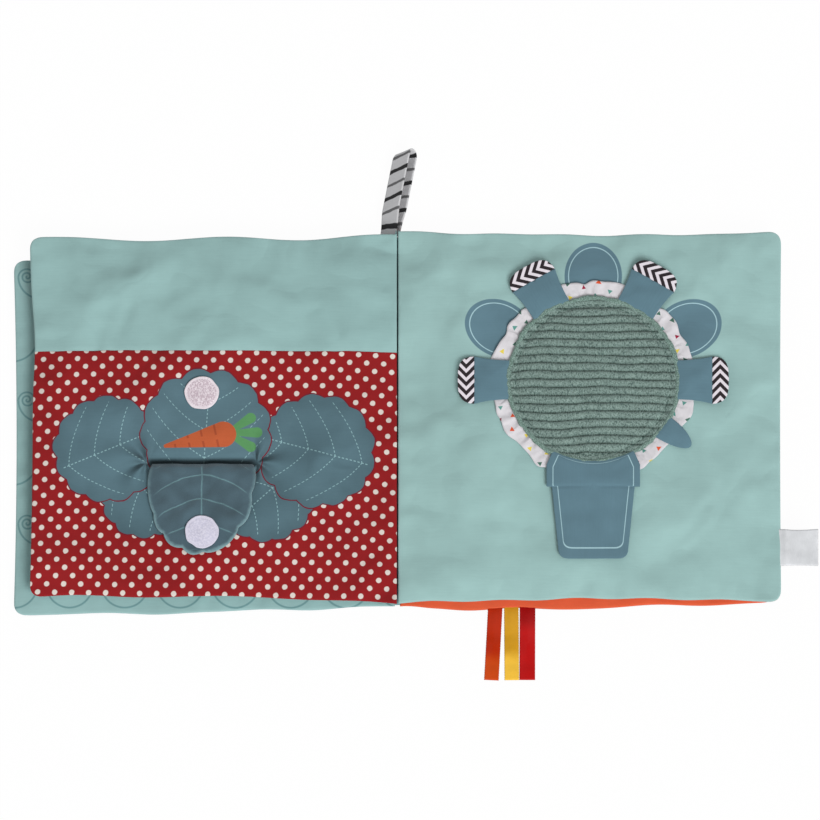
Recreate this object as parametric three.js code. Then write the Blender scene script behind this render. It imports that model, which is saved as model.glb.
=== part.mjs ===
// A square padded cloth book for a baby, lying open on a table.
// Two page leaves lie between two cover leaves, and all four are sewn together at the spine.
// Millimetres, +Z up. The origin is on the table under the middle of the spine,
// +X runs across the right page and +Y runs up the page.

import * as THREE from 'three';

// Cloth, filling and clearances
const cloth = 0.5;
const touchGap = 0.3;
const film = 0.3;
const leafThickness = 8.7;
const edgeSoftness = 28;
const edgeTuck = 1.4;
const cornerRadius = 5;

// The four leaves: width from the gutter, and how far the top and bottom edges lie below
// the even page height, at the spine and at the outer side
const pageWidth = 179;
const pageHeight = 180;
const seamAboveHem = 121.5;
const coverOverhang = 0.5;
const leafOneShort = 7;
const backCoverHemDrop = 1.8;
const backCoverHemDropOutside = 1.4;
const frontCoverTopDrop = 2;
const frontCoverTopDropOutside = 11.6;
const frontCoverHemDrop = 1.4;
const frontCoverHemDropOutside = 3.2;
const leafTwoHemDrop = 1;
const leafOneTopDrop = 1;
const leafOneTopDropOutside = 2.7;
const leafOneHemDrop = 1;
const leafOneHemRiseOutside = 1.8;

// Spine
const bindingThickness = 1.5;
const spinePanelWidth = 16;
const spinePanelThickness = 0.6;

// Left page: lift flap with its two coins
const flapCentreX = -92;
const flapHingeAboveHem = 66;
const flapWidth = 56;
const flapLength = 45;
const flapHingeWidth = 50;
const flapFace = 0.7;
const scallopCount = 9;
const scallopDepth = 1.6;
const coinRadius = 8;
const coinThickness = 0.9;
const coinReach = 34;

// Right page: corduroy disc on its padding, with a ruffle round it
const discX = 92;
const discAboveHem = 106;
const discRadius = 40;
const corduroy = 1.1;
const paddingRadius = 33;
const paddingEdge = 0.6;
const paddingCrown = 1.8;
const ruffleInset = 1;
const ruffleWidth = 7.5;
const ruffleScallop = 1.8;
const ruffleRipple = 0.6;
const ruffleFolds = 12;

// Right page: loose petals, leaf tab and pot flap, which hinge just outside the disc
const hingeGap = 1;
const petalThickness = 0.8;
const petalLength = 22.7;
const petalBaseHalf = 9.5;
const petalSeamHalf = 11.5;
const petalSeamAt = 14.8;
const petalTurns = [0, 60, 120, 180];
const tabTurn = -35;
const tabLength = 15;
const tabHalf = 6;
const potRimHalf = 22;
const potRimDepth = 11;
const potStep = 2.5;
const potFootHalf = 16.5;
const potLength = 46;
const potCorner = 5;

// Ribbons, label and striped loop
const ribbonWidth = 7;
const ribbonCloth = 0.4;
const ribbonFoldGap = 0.4;
const ribbonLength = 34;
const ribbonStartX = 45.6;
const ribbonSpacing = 7.7;
const ribbonFall = 14;
const ribbonLateFall = 18;
const labelAboveHem = 26.1;
const labelWidth = 18;
const labelLength = 18;
const loopX = -3.2;
const loopStrap = 1.2;
const loopWidth = 9;
const loopGap = 2.6;
const loopBaseGap = 1;
const loopLength = 40.5;
const loopOpenBy = 13;
const loopLean = 11;
const loopTwist = 50;

// Edges of the four leaves
const pageTopY = pageHeight / 2;
const pageHemY = -pageHeight / 2;
const flapHingeY = pageHemY + flapHingeAboveHem;
const discY = pageHemY + discAboveHem;
const labelY = pageHemY + labelAboveHem;
const backCover = {
  name: 'back_cover',
  side: 1,
  level: 0,
  width: pageWidth,
  topAtSpine: pageTopY,
  topOutside: pageTopY,
  bottomAtSpine: pageHemY - backCoverHemDrop,
  bottomOutside: pageHemY - backCoverHemDropOutside,
};
const frontCover = {
  name: 'front_cover',
  side: -1,
  level: 0,
  width: pageWidth + coverOverhang,
  topAtSpine: pageTopY - frontCoverTopDrop,
  topOutside: pageTopY - frontCoverTopDropOutside,
  bottomAtSpine: pageHemY - frontCoverHemDrop,
  bottomOutside: pageHemY - frontCoverHemDropOutside,
};
const leafTwo = {
  name: 'leaf2',
  side: 1,
  level: 1,
  width: pageWidth,
  topAtSpine: pageTopY,
  topOutside: pageTopY,
  bottomAtSpine: pageHemY - leafTwoHemDrop,
  bottomOutside: pageHemY,
};
const leafOne = {
  name: 'leaf1',
  side: -1,
  level: 1,
  width: pageWidth - leafOneShort,
  topAtSpine: pageTopY - leafOneTopDrop,
  topOutside: pageTopY - leafOneTopDropOutside,
  bottomAtSpine: pageHemY - leafOneHemDrop,
  bottomOutside: pageHemY + leafOneHemRiseOutside,
};

// Heights that follow from the values above
const bulge = (leafThickness - touchGap) / 2 - cloth;
const gutter = bindingThickness / 2 + touchGap;
const levelStep = leafThickness + touchGap;
const pageTop = levelStep + leafThickness;
const onPage = pageTop + touchGap;
const ruffleInner = paddingRadius + ruffleInset;
const ruffleOuter = discRadius + ruffleWidth;
const overRuffle = onPage + cloth + ruffleRipple + touchGap;
const foldedRibbon = 2 * ribbonCloth + ribbonFoldGap;

// Counts and shares that shape the forms
const ringShares = [0, 1 / 7, 3 / 7, 1];
const fillRing = 2;
const cornerPower = 16;
const roundSteps = 40;
const coinSteps = 24;
const strapSteps = 8;
const stepsPerWave = 5;
const domeShares = [0, 0.5, 0.8, 1];
const foldSteps = 5;

const colours = {
  teal: 0xa3c8c5, coverTeal: 0x8caca9, coverPrint: 0xb9cfe0, orange: 0xd8602f,
  dotted: 0xa21b1f, slate: 0x5f7f8c, velour: 0x4e646e, batting: 0xf2f0ea, film: 0xe4e8ea,
  corduroy: 0x7d988c, ruffle: 0xdedcde, chevron: 0x8c8784, loopTape: 0xd7c8d0,
  hookTape: 0xcdcbdc, ribbonOrange: 0xb93c14, ribbonYellow: 0xd4a52d, ribbonRed: 0xaf1616,
  striped: 0xc3c3c5, label: 0xd7dadc, spine: 0x8caca9,
};

const clothRoughness = 0.9;
const satinRoughness = 0.4;

// Three loose ribbons: colour, turn, and how fast each comes down to the table
const ribbonOnTable = touchGap + foldedRibbon / 2;
const ribbons = [
  { name: 'ribbon_orange', colour: colours.ribbonOrange, turn: -3, fall: ribbonFall },
  { name: 'ribbon_yellow', colour: colours.ribbonYellow, turn: 1.5, fall: ribbonFall },
  { name: 'ribbon_red', colour: colours.ribbonRed, turn: 1.5, fall: ribbonLateFall },
];

const book = new THREE.Group();

function addMesh(name, geometry, colour, roughness = clothRoughness) {
  const material = new THREE.MeshStandardMaterial({ color: colour, roughness, metalness: 0 });
  const mesh = new THREE.Mesh(geometry, material);
  mesh.name = name;
  book.add(mesh);
  return mesh;
}

function mix(from, to, share) {
  return from + (to - from) * share;
}

function smooth(share) {
  const t = THREE.MathUtils.clamp(share, 0, 1);
  return t * t * (3 - 2 * t);
}

// A closed solid between an upper and a lower surface over the same net of points.
// Each point has x, y, high and low. A closed net joins its last column to its first.
function slab(columns, closed = false) {
  const rows = columns[0].length;
  const positions = [];
  for (const column of columns) {
    for (const point of column) positions.push(point.x, point.y, point.high);
  }
  for (const column of columns) {
    for (const point of column) positions.push(point.x, point.y, point.low);
  }
  const under = columns.length * rows;
  const indices = [];
  const quad = (a, b, c, d) => indices.push(a, b, c, a, c, d);
  const steps = closed ? columns.length : columns.length - 1;
  for (let i = 0; i < steps; i += 1) {
    const here = i * rows;
    const next = ((i + 1) % columns.length) * rows;
    for (let j = 0; j < rows - 1; j += 1) {
      quad(here + j, next + j, next + j + 1, here + j + 1);
      quad(under + here + j, under + here + j + 1, under + next + j + 1, under + next + j);
    }
    quad(here, under + here, under + next, next);
    quad(next + rows - 1, under + next + rows - 1, under + here + rows - 1, here + rows - 1);
  }
  if (!closed) {
    for (let j = 0; j < rows - 1; j += 1) {
      quad(j, j + 1, under + j + 1, under + j);
      const last = (columns.length - 1) * rows + j;
      quad(last + 1, last, under + last, under + last + 1);
    }
  }
  const geometry = new THREE.BufferGeometry();
  geometry.setAttribute('position', new THREE.Float32BufferAttribute(positions, 3));
  geometry.setIndex(indices);
  geometry.computeVertexNormals();
  return geometry;
}

// Distances of the net's lines from one edge of a leaf to the other
function netLines(size, extra = []) {
  const near = ringShares.map((share) => share * edgeSoftness);
  const far = near.map((inset) => size - inset).reverse();
  return [...near, size / 2, ...extra, ...far].sort((a, b) => a - b);
}

function puff(distance, size) {
  const inset = Math.min(distance, size - distance);
  return Math.sin(Math.min(1, inset / edgeSoftness) * Math.PI / 2);
}

// One point of a leaf: its place in plan and how far it is puffed up, 0 at the seam to 1
function leafPoint(leaf, fromSpine, fromBottom) {
  const out = fromSpine / leaf.width;
  const up = 2 * fromBottom / pageHeight - 1;
  const across = 2 * out - 1;
  const corner = cornerRadius * (1 - Math.SQRT1_2) * (out * Math.abs(up)) ** cornerPower;
  const top = mix(leaf.topAtSpine, leaf.topOutside, out);
  const bottom = mix(leaf.bottomAtSpine, leaf.bottomOutside, out);
  const tuckX = edgeTuck * out * (1 - up * up) + corner;
  const tuckY = edgeTuck * (1 - across * across) + corner;
  return {
    x: leaf.side * (gutter + fromSpine - tuckX),
    y: mix(bottom, top, fromBottom / pageHeight) - up * tuckY,
    puff: puff(fromSpine, leaf.width) * puff(fromBottom, pageHeight),
  };
}

function leafNet(leaf, rowsAt = []) {
  const outwards = netLines(leaf.width);
  const columns = leaf.side > 0 ? outwards : outwards.reverse();
  const rows = netLines(pageHeight, rowsAt);
  return columns.map((out) => rows.map((up) => leafPoint(leaf, out, up)));
}

function layer(net, high, low) {
  return slab(net.map((column) => column.map((point) => ({
    x: point.x, y: point.y, high: high(point.puff), low: low(point.puff),
  }))));
}

function innerNet(net) {
  return net.slice(fillRing, -fillRing).map((column) => column.slice(fillRing, -fillRing));
}

function leafMiddle(leaf) {
  return leaf.level * levelStep + leafThickness / 2;
}

// Cloth shells, batting and crinkle film of one leaf. The front cloth can be pieced from
// a lower and an upper part, which meet in a seam across the leaf.
function buildLeaf(leaf, backName, backColour, fronts, seamAt) {
  const middle = leafMiddle(leaf);
  const half = touchGap / 2;
  const rowsAt = seamAt === undefined ? [] : [seamAt];
  const net = leafNet(leaf, rowsAt);
  const frontUnder = (share) => middle + half + share * bulge;
  const backOver = (share) => middle - half - share * bulge;
  const filmOver = (share) => frontUnder(share) - touchGap;
  const padOver = (share) => filmOver(share) - film - touchGap;
  addMesh(backName, layer(net, backOver, (share) => backOver(share) - cloth), backColour);
  for (const front of fronts) {
    const part = seamAt === undefined ? net : pieceOfNet(net, seamAt, front.above);
    addMesh(front.name, layer(part, (share) => frontUnder(share) + cloth, frontUnder), front.colour);
  }
  const inside = innerNet(net);
  addMesh(`${leaf.name}_batting`, layer(inside, padOver, (share) => backOver(share) + touchGap),
    colours.batting);
  addMesh(`${leaf.name}_crinkle_film`, layer(inside, filmOver, (share) => filmOver(share) - film),
    colours.film, satinRoughness);
}

function pieceOfNet(net, seamAt, above) {
  const rows = netLines(pageHeight, [seamAt]);
  const seam = rows.indexOf(seamAt);
  const shift = (above ? 1 : -1) * touchGap / 2;
  return net.map((column) => {
    const kept = above ? column.slice(seam) : column.slice(0, seam + 1);
    const edge = above ? 0 : seam;
    return kept.map((point, row) => (row === edge ? { ...point, y: point.y + shift } : point));
  });
}

function extruded(shape, thickness) {
  return new THREE.ExtrudeGeometry(shape, {
    depth: thickness, bevelEnabled: false, curveSegments: foldSteps,
  });
}

// Plan outline, extruded upwards from a given height
function plate(name, shape, low, thickness, colour) {
  addMesh(name, extruded(shape, thickness).translate(0, 0, low), colour);
}

// The lowest place of a right-hand leaf's bottom hem beside a strap of a given width
function bottomEdge(leaf, x, width) {
  const hem = netLines(leaf.width).map((out) => leafPoint(leaf, out, 0));
  const hemAt = (place) => {
    const next = hem.findIndex((point) => point.x > place);
    const share = (place - hem[next - 1].x) / (hem[next].x - hem[next - 1].x);
    return mix(hem[next - 1].y, hem[next].y, share);
  };
  return Math.min(hemAt(x - width / 2), hemAt(x + width / 2));
}

// Outline of a strap of even thickness that follows an open centre line
function strapOutline(points, thickness) {
  const left = [];
  const right = [];
  points.forEach((point, index) => {
    const before = points[Math.max(0, index - 1)];
    const after = points[Math.min(points.length - 1, index + 1)];
    const along = after.clone().sub(before).normalize();
    const aside = new THREE.Vector2(-along.y, along.x).multiplyScalar(thickness / 2);
    left.push(point.clone().add(aside));
    right.push(point.clone().sub(aside));
  });
  return new THREE.Shape([...left, ...right.reverse()]);
}

// Centre line that runs out on one side of a middle line, folds over and comes back.
// The half gap can change along the strap.
function foldedLine(middle, halfGap) {
  const upper = [];
  const lower = [];
  middle.forEach((point, index) => {
    const aside = new THREE.Vector2(0, halfGap(index));
    upper.push(point.clone().add(aside));
    lower.push(point.clone().sub(aside));
  });
  const end = middle[middle.length - 1];
  const radius = halfGap(middle.length - 1);
  const fold = [];
  for (let step = 1; step < foldSteps; step += 1) {
    const angle = Math.PI / 2 - Math.PI * step / foldSteps;
    fold.push(new THREE.Vector2(end.x + radius * Math.cos(angle), end.y + radius * Math.sin(angle)));
  }
  return [...upper, ...fold, ...lower.reverse()];
}

// A folded strap whose outline lies in the x-z plane at first, centred on its width
function strapGeometry(line, thickness, width) {
  const geometry = extruded(strapOutline(line, thickness), width);
  geometry.translate(0, 0, -width / 2);
  geometry.rotateX(Math.PI / 2);
  return geometry;
}

function evenLine(length, steps, height) {
  const points = [];
  for (let step = 0; step <= steps; step += 1) {
    const along = length * step / steps;
    points.push(new THREE.Vector2(along, height(along)));
  }
  return points;
}

function buildLeaves() {
  buildLeaf(frontCover, 'front_cover_outer_cloth', colours.coverPrint,
    [{ name: 'front_cover_inner_cloth', colour: colours.coverTeal }]);
  buildLeaf(leafOne, 'leaf1_back_cloth', colours.coverTeal, [
    { name: 'leaf1_dotted_cloth', colour: colours.dotted, above: false },
    { name: 'leaf1_sky_cloth', colour: colours.teal, above: true },
  ], seamAboveHem);
  buildLeaf(leafTwo, 'leaf2_back_cloth', colours.orange,
    [{ name: 'leaf2_front_cloth', colour: colours.teal }]);
  buildLeaf(backCover, 'back_cover_outer_cloth', colours.coverPrint,
    [{ name: 'back_cover_inner_cloth', colour: colours.orange }]);
}

function buildSpine() {
  const spineLength = backCover.topAtSpine - backCover.bottomAtSpine;
  const spineMiddle = (backCover.topAtSpine + backCover.bottomAtSpine) / 2;
  const panel = new THREE.BoxGeometry(spinePanelWidth, spineLength, spinePanelThickness);
  panel.translate(0, spineMiddle, spinePanelThickness / 2);
  addMesh('spine_panel', panel, colours.spine);
  const low = spinePanelThickness + touchGap;
  const high = leafMiddle(leafTwo) + touchGap / 2 + cloth;
  const binding = new THREE.BoxGeometry(bindingThickness, spineLength, high - low);
  binding.translate(0, spineMiddle, (low + high) / 2);
  addMesh('spine_binding', binding, colours.spine);
}

// Scalloped outline of the lift flap, hanging down from its hinge line
function flapShape() {
  const points = [];
  const steps = scallopCount * stepsPerWave;
  for (let step = 0; step <= steps; step += 1) {
    const share = step / steps;
    const angle = -Math.PI * share;
    const bump = scallopDepth * (Math.abs(Math.sin(Math.PI * scallopCount * share)) - 1);
    const narrow = mix(flapHingeWidth / flapWidth, 1, Math.sin(Math.PI * share));
    points.push(new THREE.Vector2(
      flapCentreX + (flapWidth / 2 + bump) * Math.cos(angle) * narrow,
      flapHingeY - touchGap + (flapLength - touchGap + bump) * Math.sin(angle),
    ));
  }
  return new THREE.Shape(points);
}

function coin(name, y, low, colour) {
  const geometry = new THREE.CylinderGeometry(coinRadius, coinRadius, coinThickness, coinSteps);
  geometry.rotateX(Math.PI / 2);
  geometry.translate(flapCentreX, y, low + coinThickness / 2);
  addMesh(name, geometry, colour);
}

function buildLeftPage() {
  coin('loop_coin', flapHingeY + coinReach, onPage, colours.loopTape);
  const face = onPage + cloth + touchGap;
  plate('garden_flap_lining', flapShape(), onPage, cloth, colours.slate);
  plate('garden_flap_face', flapShape(), face, flapFace, colours.velour);
  coin('hook_coin', flapHingeY - coinReach, face + flapFace + touchGap, colours.hookTape);
}

function domeHeight(share) {
  return onPage + paddingEdge + paddingCrown * (1 - share * share);
}

function turned(points) {
  const geometry = new THREE.LatheGeometry(points, roundSteps);
  geometry.rotateX(Math.PI / 2);
  geometry.translate(discX, discY, 0);
  return geometry;
}

function buildDisc() {
  const dome = domeShares.map((share) => new THREE.Vector2(share * paddingRadius, domeHeight(share)));
  const padding = [
    new THREE.Vector2(0, onPage),
    new THREE.Vector2(paddingRadius, onPage),
    ...dome.slice().reverse(),
  ];
  addMesh('disc_padding', turned(padding), colours.batting);
  const rim = onPage + cloth + touchGap;
  const under = dome.map((point) => new THREE.Vector2(point.x, point.y + touchGap));
  under.push(new THREE.Vector2(discRadius, rim));
  const over = under.map((point) => new THREE.Vector2(point.x, point.y + corduroy)).reverse();
  addMesh('corduroy_disc', turned([...under, ...over]), colours.corduroy);
}

function buildRuffle() {
  const count = ruffleFolds * stepsPerWave;
  const columns = [];
  for (let step = 0; step < count; step += 1) {
    const angle = -2 * Math.PI * step / count;
    const wave = (1 - Math.cos(ruffleFolds * angle)) / 2;
    const radii = [ruffleInner, discRadius, ruffleOuter + ruffleScallop * (wave - 0.5)];
    const lifts = [0, 0, ruffleRipple * wave];
    columns.push(radii.map((radius, ring) => ({
      x: discX + radius * Math.cos(angle),
      y: discY + radius * Math.sin(angle),
      low: onPage + lifts[ring],
      high: onPage + lifts[ring] + cloth,
    })));
  }
  addMesh('ruffle', slab(columns, true), colours.ruffle);
}

// Turns a shape drawn outwards from the hinge line to its place round the disc
function placeRound(geometry, turn, low) {
  geometry.translate(discRadius + hingeGap, 0, low);
  geometry.rotateZ(THREE.MathUtils.degToRad(turn));
  geometry.translate(discX, discY, 0);
  return geometry;
}

// The inner edge of a petal follows the rim of the disc
function hugRim(shape, half) {
  const radius = discRadius + hingeGap + touchGap;
  for (let step = 0; step <= foldSteps; step += 1) {
    const across = mix(half, -half, step / foldSteps);
    const along = Math.sqrt(radius * radius - across * across) - discRadius - hingeGap;
    if (step === 0) shape.moveTo(along, across);
    else shape.lineTo(along, across);
  }
}

function petalBody() {
  const shape = new THREE.Shape();
  hugRim(shape, petalBaseHalf);
  shape.quadraticCurveTo(petalSeamAt / 2, -petalBaseHalf, petalSeamAt, -petalSeamHalf);
  shape.lineTo(petalSeamAt, petalSeamHalf);
  shape.quadraticCurveTo(petalSeamAt / 2, petalBaseHalf, shape.getPoint(0).x, petalBaseHalf);
  return shape;
}

function petalTip() {
  const start = petalSeamAt + touchGap;
  const shape = new THREE.Shape();
  shape.moveTo(start, -petalSeamHalf);
  shape.bezierCurveTo(petalLength, -petalSeamHalf, petalLength, -petalSeamHalf / 2, petalLength, 0);
  shape.bezierCurveTo(petalLength, petalSeamHalf / 2, petalLength, petalSeamHalf, start, petalSeamHalf);
  return shape;
}

function tabShape() {
  const shape = new THREE.Shape();
  hugRim(shape, tabHalf);
  shape.bezierCurveTo(tabLength / 2, -tabHalf, tabLength, -tabHalf / 2, tabLength, 0);
  shape.bezierCurveTo(tabLength, tabHalf / 2, tabLength / 2, tabHalf, shape.getPoint(0).x, tabHalf);
  return shape;
}

function potShape() {
  const bodyHalf = potRimHalf - potStep;
  const shape = new THREE.Shape();
  shape.moveTo(touchGap, -potRimHalf);
  shape.lineTo(potRimDepth, -potRimHalf);
  shape.lineTo(potRimDepth, -bodyHalf);
  shape.lineTo(potLength - potCorner, -potFootHalf);
  shape.quadraticCurveTo(potLength, -potFootHalf, potLength, potCorner - potFootHalf);
  shape.lineTo(potLength, potFootHalf - potCorner);
  shape.quadraticCurveTo(potLength, potFootHalf, potLength - potCorner, potFootHalf);
  shape.lineTo(potRimDepth, bodyHalf);
  shape.lineTo(potRimDepth, potRimHalf);
  shape.lineTo(touchGap, potRimHalf);
  return shape;
}

function buildFlower() {
  petalTurns.forEach((turn, index) => {
    const body = placeRound(extruded(petalBody(), petalThickness), turn, overRuffle);
    addMesh(`petal_${index + 1}`, body, colours.slate);
    const tip = placeRound(extruded(petalTip(), petalThickness), turn, overRuffle);
    addMesh(`petal_tip_${index + 1}`, tip, colours.chevron);
  });
  addMesh('leaf_tab', placeRound(extruded(tabShape(), petalThickness), tabTurn, overRuffle),
    colours.slate);
  addMesh('pot_flap_lining', placeRound(extruded(potShape(), cloth), -90, overRuffle), colours.slate);
  const face = placeRound(extruded(potShape(), cloth), -90, overRuffle + cloth + touchGap);
  addMesh('pot_flap_face', face, colours.slate);
}

function buildRibbons() {
  const halfFold = (ribbonCloth + ribbonFoldGap) / 2;
  const seam = leafMiddle(backCover);
  ribbons.forEach((ribbon, index) => {
    const x = ribbonStartX + index * ribbonSpacing;
    const middle = evenLine(ribbonLength - halfFold, strapSteps,
      (along) => mix(seam, ribbonOnTable, smooth(along / ribbon.fall)));
    const line = foldedLine(middle, () => halfFold);
    const geometry = strapGeometry(line, ribbonCloth, ribbonWidth);
    const turn = THREE.MathUtils.degToRad(ribbon.turn);
    geometry.rotateZ(-Math.PI / 2 + turn);
    const corner = Math.abs(Math.sin(turn)) * ribbonWidth / 2;
    const hem = bottomEdge(backCover, x, ribbonWidth);
    geometry.translate(x, hem - corner - touchGap, 0);
    addMesh(ribbon.name, geometry, ribbon.colour, satinRoughness);
  });
}

function buildLabel() {
  const halfFold = (ribbonCloth + ribbonFoldGap) / 2;
  const seam = leafMiddle(leafTwo);
  const line = foldedLine(evenLine(labelLength - halfFold, 1, () => seam), () => halfFold);
  const geometry = strapGeometry(line, ribbonCloth, labelWidth);
  const edge = leafPoint(leafTwo, leafTwo.width, labelAboveHem).x;
  geometry.translate(edge + touchGap, labelY, 0);
  addMesh('label', geometry, colours.label, satinRoughness);
}

// The loop starts at the spine binding, leans to the right and is twisted about its length
function buildLoop() {
  const halfGap = (loopGap + loopStrap) / 2;
  const baseGap = (loopBaseGap + loopStrap) / 2;
  const straight = loopLength - halfGap - loopStrap / 2;
  const middle = evenLine(straight, strapSteps, () => 0);
  const line = foldedLine(middle, (index) => mix(baseGap, halfGap, smooth(middle[index].x / loopOpenBy)));
  const geometry = strapGeometry(line, loopStrap, loopWidth);
  geometry.rotateX(THREE.MathUtils.degToRad(loopTwist - 90));
  geometry.rotateZ(THREE.MathUtils.degToRad(90 - loopLean));
  geometry.computeBoundingBox();
  const base = geometry.boundingBox.min;
  geometry.translate(loopX, backCover.topAtSpine + touchGap - base.y, touchGap - base.z);
  addMesh('striped_loop', geometry, colours.striped);
}

buildLeaves();
buildSpine();
buildLeftPage();
buildDisc();
buildRuffle();
buildFlower();
buildRibbons();
buildLabel();
buildLoop();

export default book;
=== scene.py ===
"""The looks of an open, padded cloth book for a baby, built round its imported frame.

Sizes are millimetres until a mesh is laid, and every piece is laid where it belongs, so
that its object stays at the origin. +X runs across the right page, +Y up the page.
"""

import logging
import math
from dataclasses import dataclass
from enum import Enum
from typing import Callable, Sequence

import bpy
import numpy as np
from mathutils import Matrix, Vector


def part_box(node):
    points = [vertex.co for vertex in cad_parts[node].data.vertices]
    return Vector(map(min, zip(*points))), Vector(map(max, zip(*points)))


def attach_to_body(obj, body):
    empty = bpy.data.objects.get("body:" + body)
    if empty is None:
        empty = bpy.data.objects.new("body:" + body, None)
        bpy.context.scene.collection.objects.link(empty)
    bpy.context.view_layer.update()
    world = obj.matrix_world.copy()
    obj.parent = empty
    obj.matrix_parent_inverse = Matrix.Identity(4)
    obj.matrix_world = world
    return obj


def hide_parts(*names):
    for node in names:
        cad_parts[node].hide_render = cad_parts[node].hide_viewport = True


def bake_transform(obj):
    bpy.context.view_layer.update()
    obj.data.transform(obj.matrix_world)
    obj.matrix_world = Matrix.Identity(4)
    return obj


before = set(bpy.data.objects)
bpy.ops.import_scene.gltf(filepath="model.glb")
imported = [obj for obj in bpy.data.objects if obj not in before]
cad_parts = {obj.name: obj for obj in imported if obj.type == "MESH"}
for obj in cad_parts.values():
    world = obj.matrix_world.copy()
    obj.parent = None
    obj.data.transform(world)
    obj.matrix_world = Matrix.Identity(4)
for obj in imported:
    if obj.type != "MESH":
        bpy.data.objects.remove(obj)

LOG = logging.getLogger("cloth_book")
MM = 0.001
CLOTH_MAP = "ClothMap"
Array = np.ndarray
Piece = bpy.types.Object
Socket = bpy.types.NodeSocket
Tree = bpy.types.NodeTree
Colour = tuple[int, int, int]
Spot = tuple[float, float]

# Heights of the covers' and the pages' seams, and places and colours that pieces share.
COVER_SEAM, PAGE_SEAM = 4.35, 13.35
FLAP_HINGE: Spot = (-92.0, -24.0)
DISC_CENTRE: Spot = (92.0, 16.0)
SLATE_INK: Colour = (95, 127, 140)
PALE_LINE: Colour = (170, 205, 212)


# Mesh work


def clear_selection() -> None:
    """Leaves edit mode and selects nothing."""
    if bpy.context.object is not None and bpy.context.object.mode != "OBJECT":
        bpy.ops.object.mode_set(mode="OBJECT")
    bpy.ops.object.select_all(action="DESELECT")


def pick(*pieces: Piece) -> None:
    """Selects these pieces alone and makes the first one active."""
    clear_selection()
    for piece in pieces:
        piece.select_set(True)
    bpy.context.view_layer.objects.active = pieces[0]


def named(piece: Piece, name: str) -> Piece:
    """Gives the piece and its mesh one name."""
    piece.name = piece.data.name = name
    return piece


def set_all(thing: object, settings: dict[str, object]) -> None:
    """Sets these properties of a modifier, a node or another thing."""
    for key, value in settings.items():
        setattr(thing, key, value)


def corners(piece: Piece) -> Array:
    """Returns the piece's vertices, in millimetres, one row each."""
    flat = np.empty(len(piece.data.vertices) * 3, np.float32)
    piece.data.vertices.foreach_get("co", flat)
    return flat.reshape(-1, 3).astype(float) / MM


def lay(piece: Piece, places: Array) -> Piece:
    """Moves the piece's vertices.

    Args:
        piece: The piece to shape.
        places: One row of x, y and z for each vertex, in millimetres.

    Returns:
        The same piece.
    """
    piece.data.vertices.foreach_set("co", (places * MM).astype(np.float32).ravel())
    piece.data.update()
    return piece


def map_cloth(piece: Piece, flat: Array) -> None:
    """Gives the piece a map of its cloth lying flat.

    Args:
        piece: The piece to map.
        flat: One row of two lengths for each vertex, in millimetres.
    """
    layer = piece.data.uv_layers.get(CLOTH_MAP) or piece.data.uv_layers.new(name=CLOTH_MAP)
    loops = np.empty(len(piece.data.loops), np.int32)
    piece.data.loops.foreach_get("vertex_index", loops)
    layer.data.foreach_set("uv", flat[loops].astype(np.float32).ravel())


def mark(piece: Piece, name: str, values: Array) -> None:
    """Stores one number for each vertex, for the piece's finish to read."""
    layer = piece.data.attributes.new(name, "FLOAT", "POINT")
    layer.data.foreach_set("value", values.astype(np.float32))


def finish_with(piece: Piece, kind: str, **settings: object) -> None:
    """Adds a modifier and applies it.

    Args:
        piece: The piece to finish.
        kind: The modifier's kind, as Blender names it.
        settings: The modifier's properties.
    """
    pick(piece)
    modifier = piece.modifiers.new(kind.title(), kind)
    set_all(modifier, settings)
    bpy.ops.object.modifier_apply(modifier=modifier.name)


def edit_all(piece: Piece, *steps: Callable[[], object]) -> None:
    """Runs edit-mode steps on the whole of one piece.

    Args:
        piece: The piece to edit, all of it selected.
        steps: The steps, in order.
    """
    pick(piece)
    bpy.ops.object.mode_set(mode="EDIT")
    bpy.ops.mesh.select_all(action="SELECT")
    for step in steps:
        step()
    bpy.ops.object.mode_set(mode="OBJECT")


def close_up(piece: Piece) -> None:
    """Merges doubled vertices and turns all faces of a closed piece outwards."""
    edit_all(
        piece,
        lambda: bpy.ops.mesh.remove_doubles(threshold=0.00001),
        lambda: bpy.ops.mesh.normals_make_consistent(inside=False),
    )


def smooth_shade(piece: Piece) -> None:
    """Shades every face of the piece smoothly."""
    pick(piece)
    bpy.ops.object.shade_smooth()


def thicken(piece: Piece, wall: float, offset: float = 0.0) -> None:
    """Gives a sheet its thickness, in millimetres, and shades it smoothly."""
    finish_with(piece, "SOLIDIFY", thickness=wall * MM, offset=offset)
    smooth_shade(piece)


def join(name: str, pieces: Sequence[Piece]) -> Piece:
    """Joins pieces into the first one.

    Args:
        name: The name of what they become.
        pieces: The pieces to join.

    Returns:
        The joined piece.
    """
    pick(*pieces)
    bpy.ops.object.join()
    return named(pieces[0], name)


def copy_of(piece: Piece, name: str) -> Piece:
    """Returns a copy of the piece with a mesh of its own."""
    pick(piece)
    bpy.ops.object.duplicate(linked=False)
    return named(bpy.context.object, name)


def grid(name: str, columns: int, rows: int) -> tuple[Piece, Array, Array]:
    """Adds a grid, which its maker then lays.

    Args:
        name: The piece's name.
        columns: How many faces it has across.
        rows: How many faces it has upwards.

    Returns:
        The new piece, and its vertices' shares across and upwards, each from 0 to 1.
    """
    clear_selection()
    bpy.ops.mesh.primitive_grid_add(x_subdivisions=columns, y_subdivisions=rows, size=2.0)
    piece = named(bpy.context.object, name)
    start = corners(piece) * MM
    return piece, (start[:, 0] + 1) / 2, (start[:, 1] + 1) / 2


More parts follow.
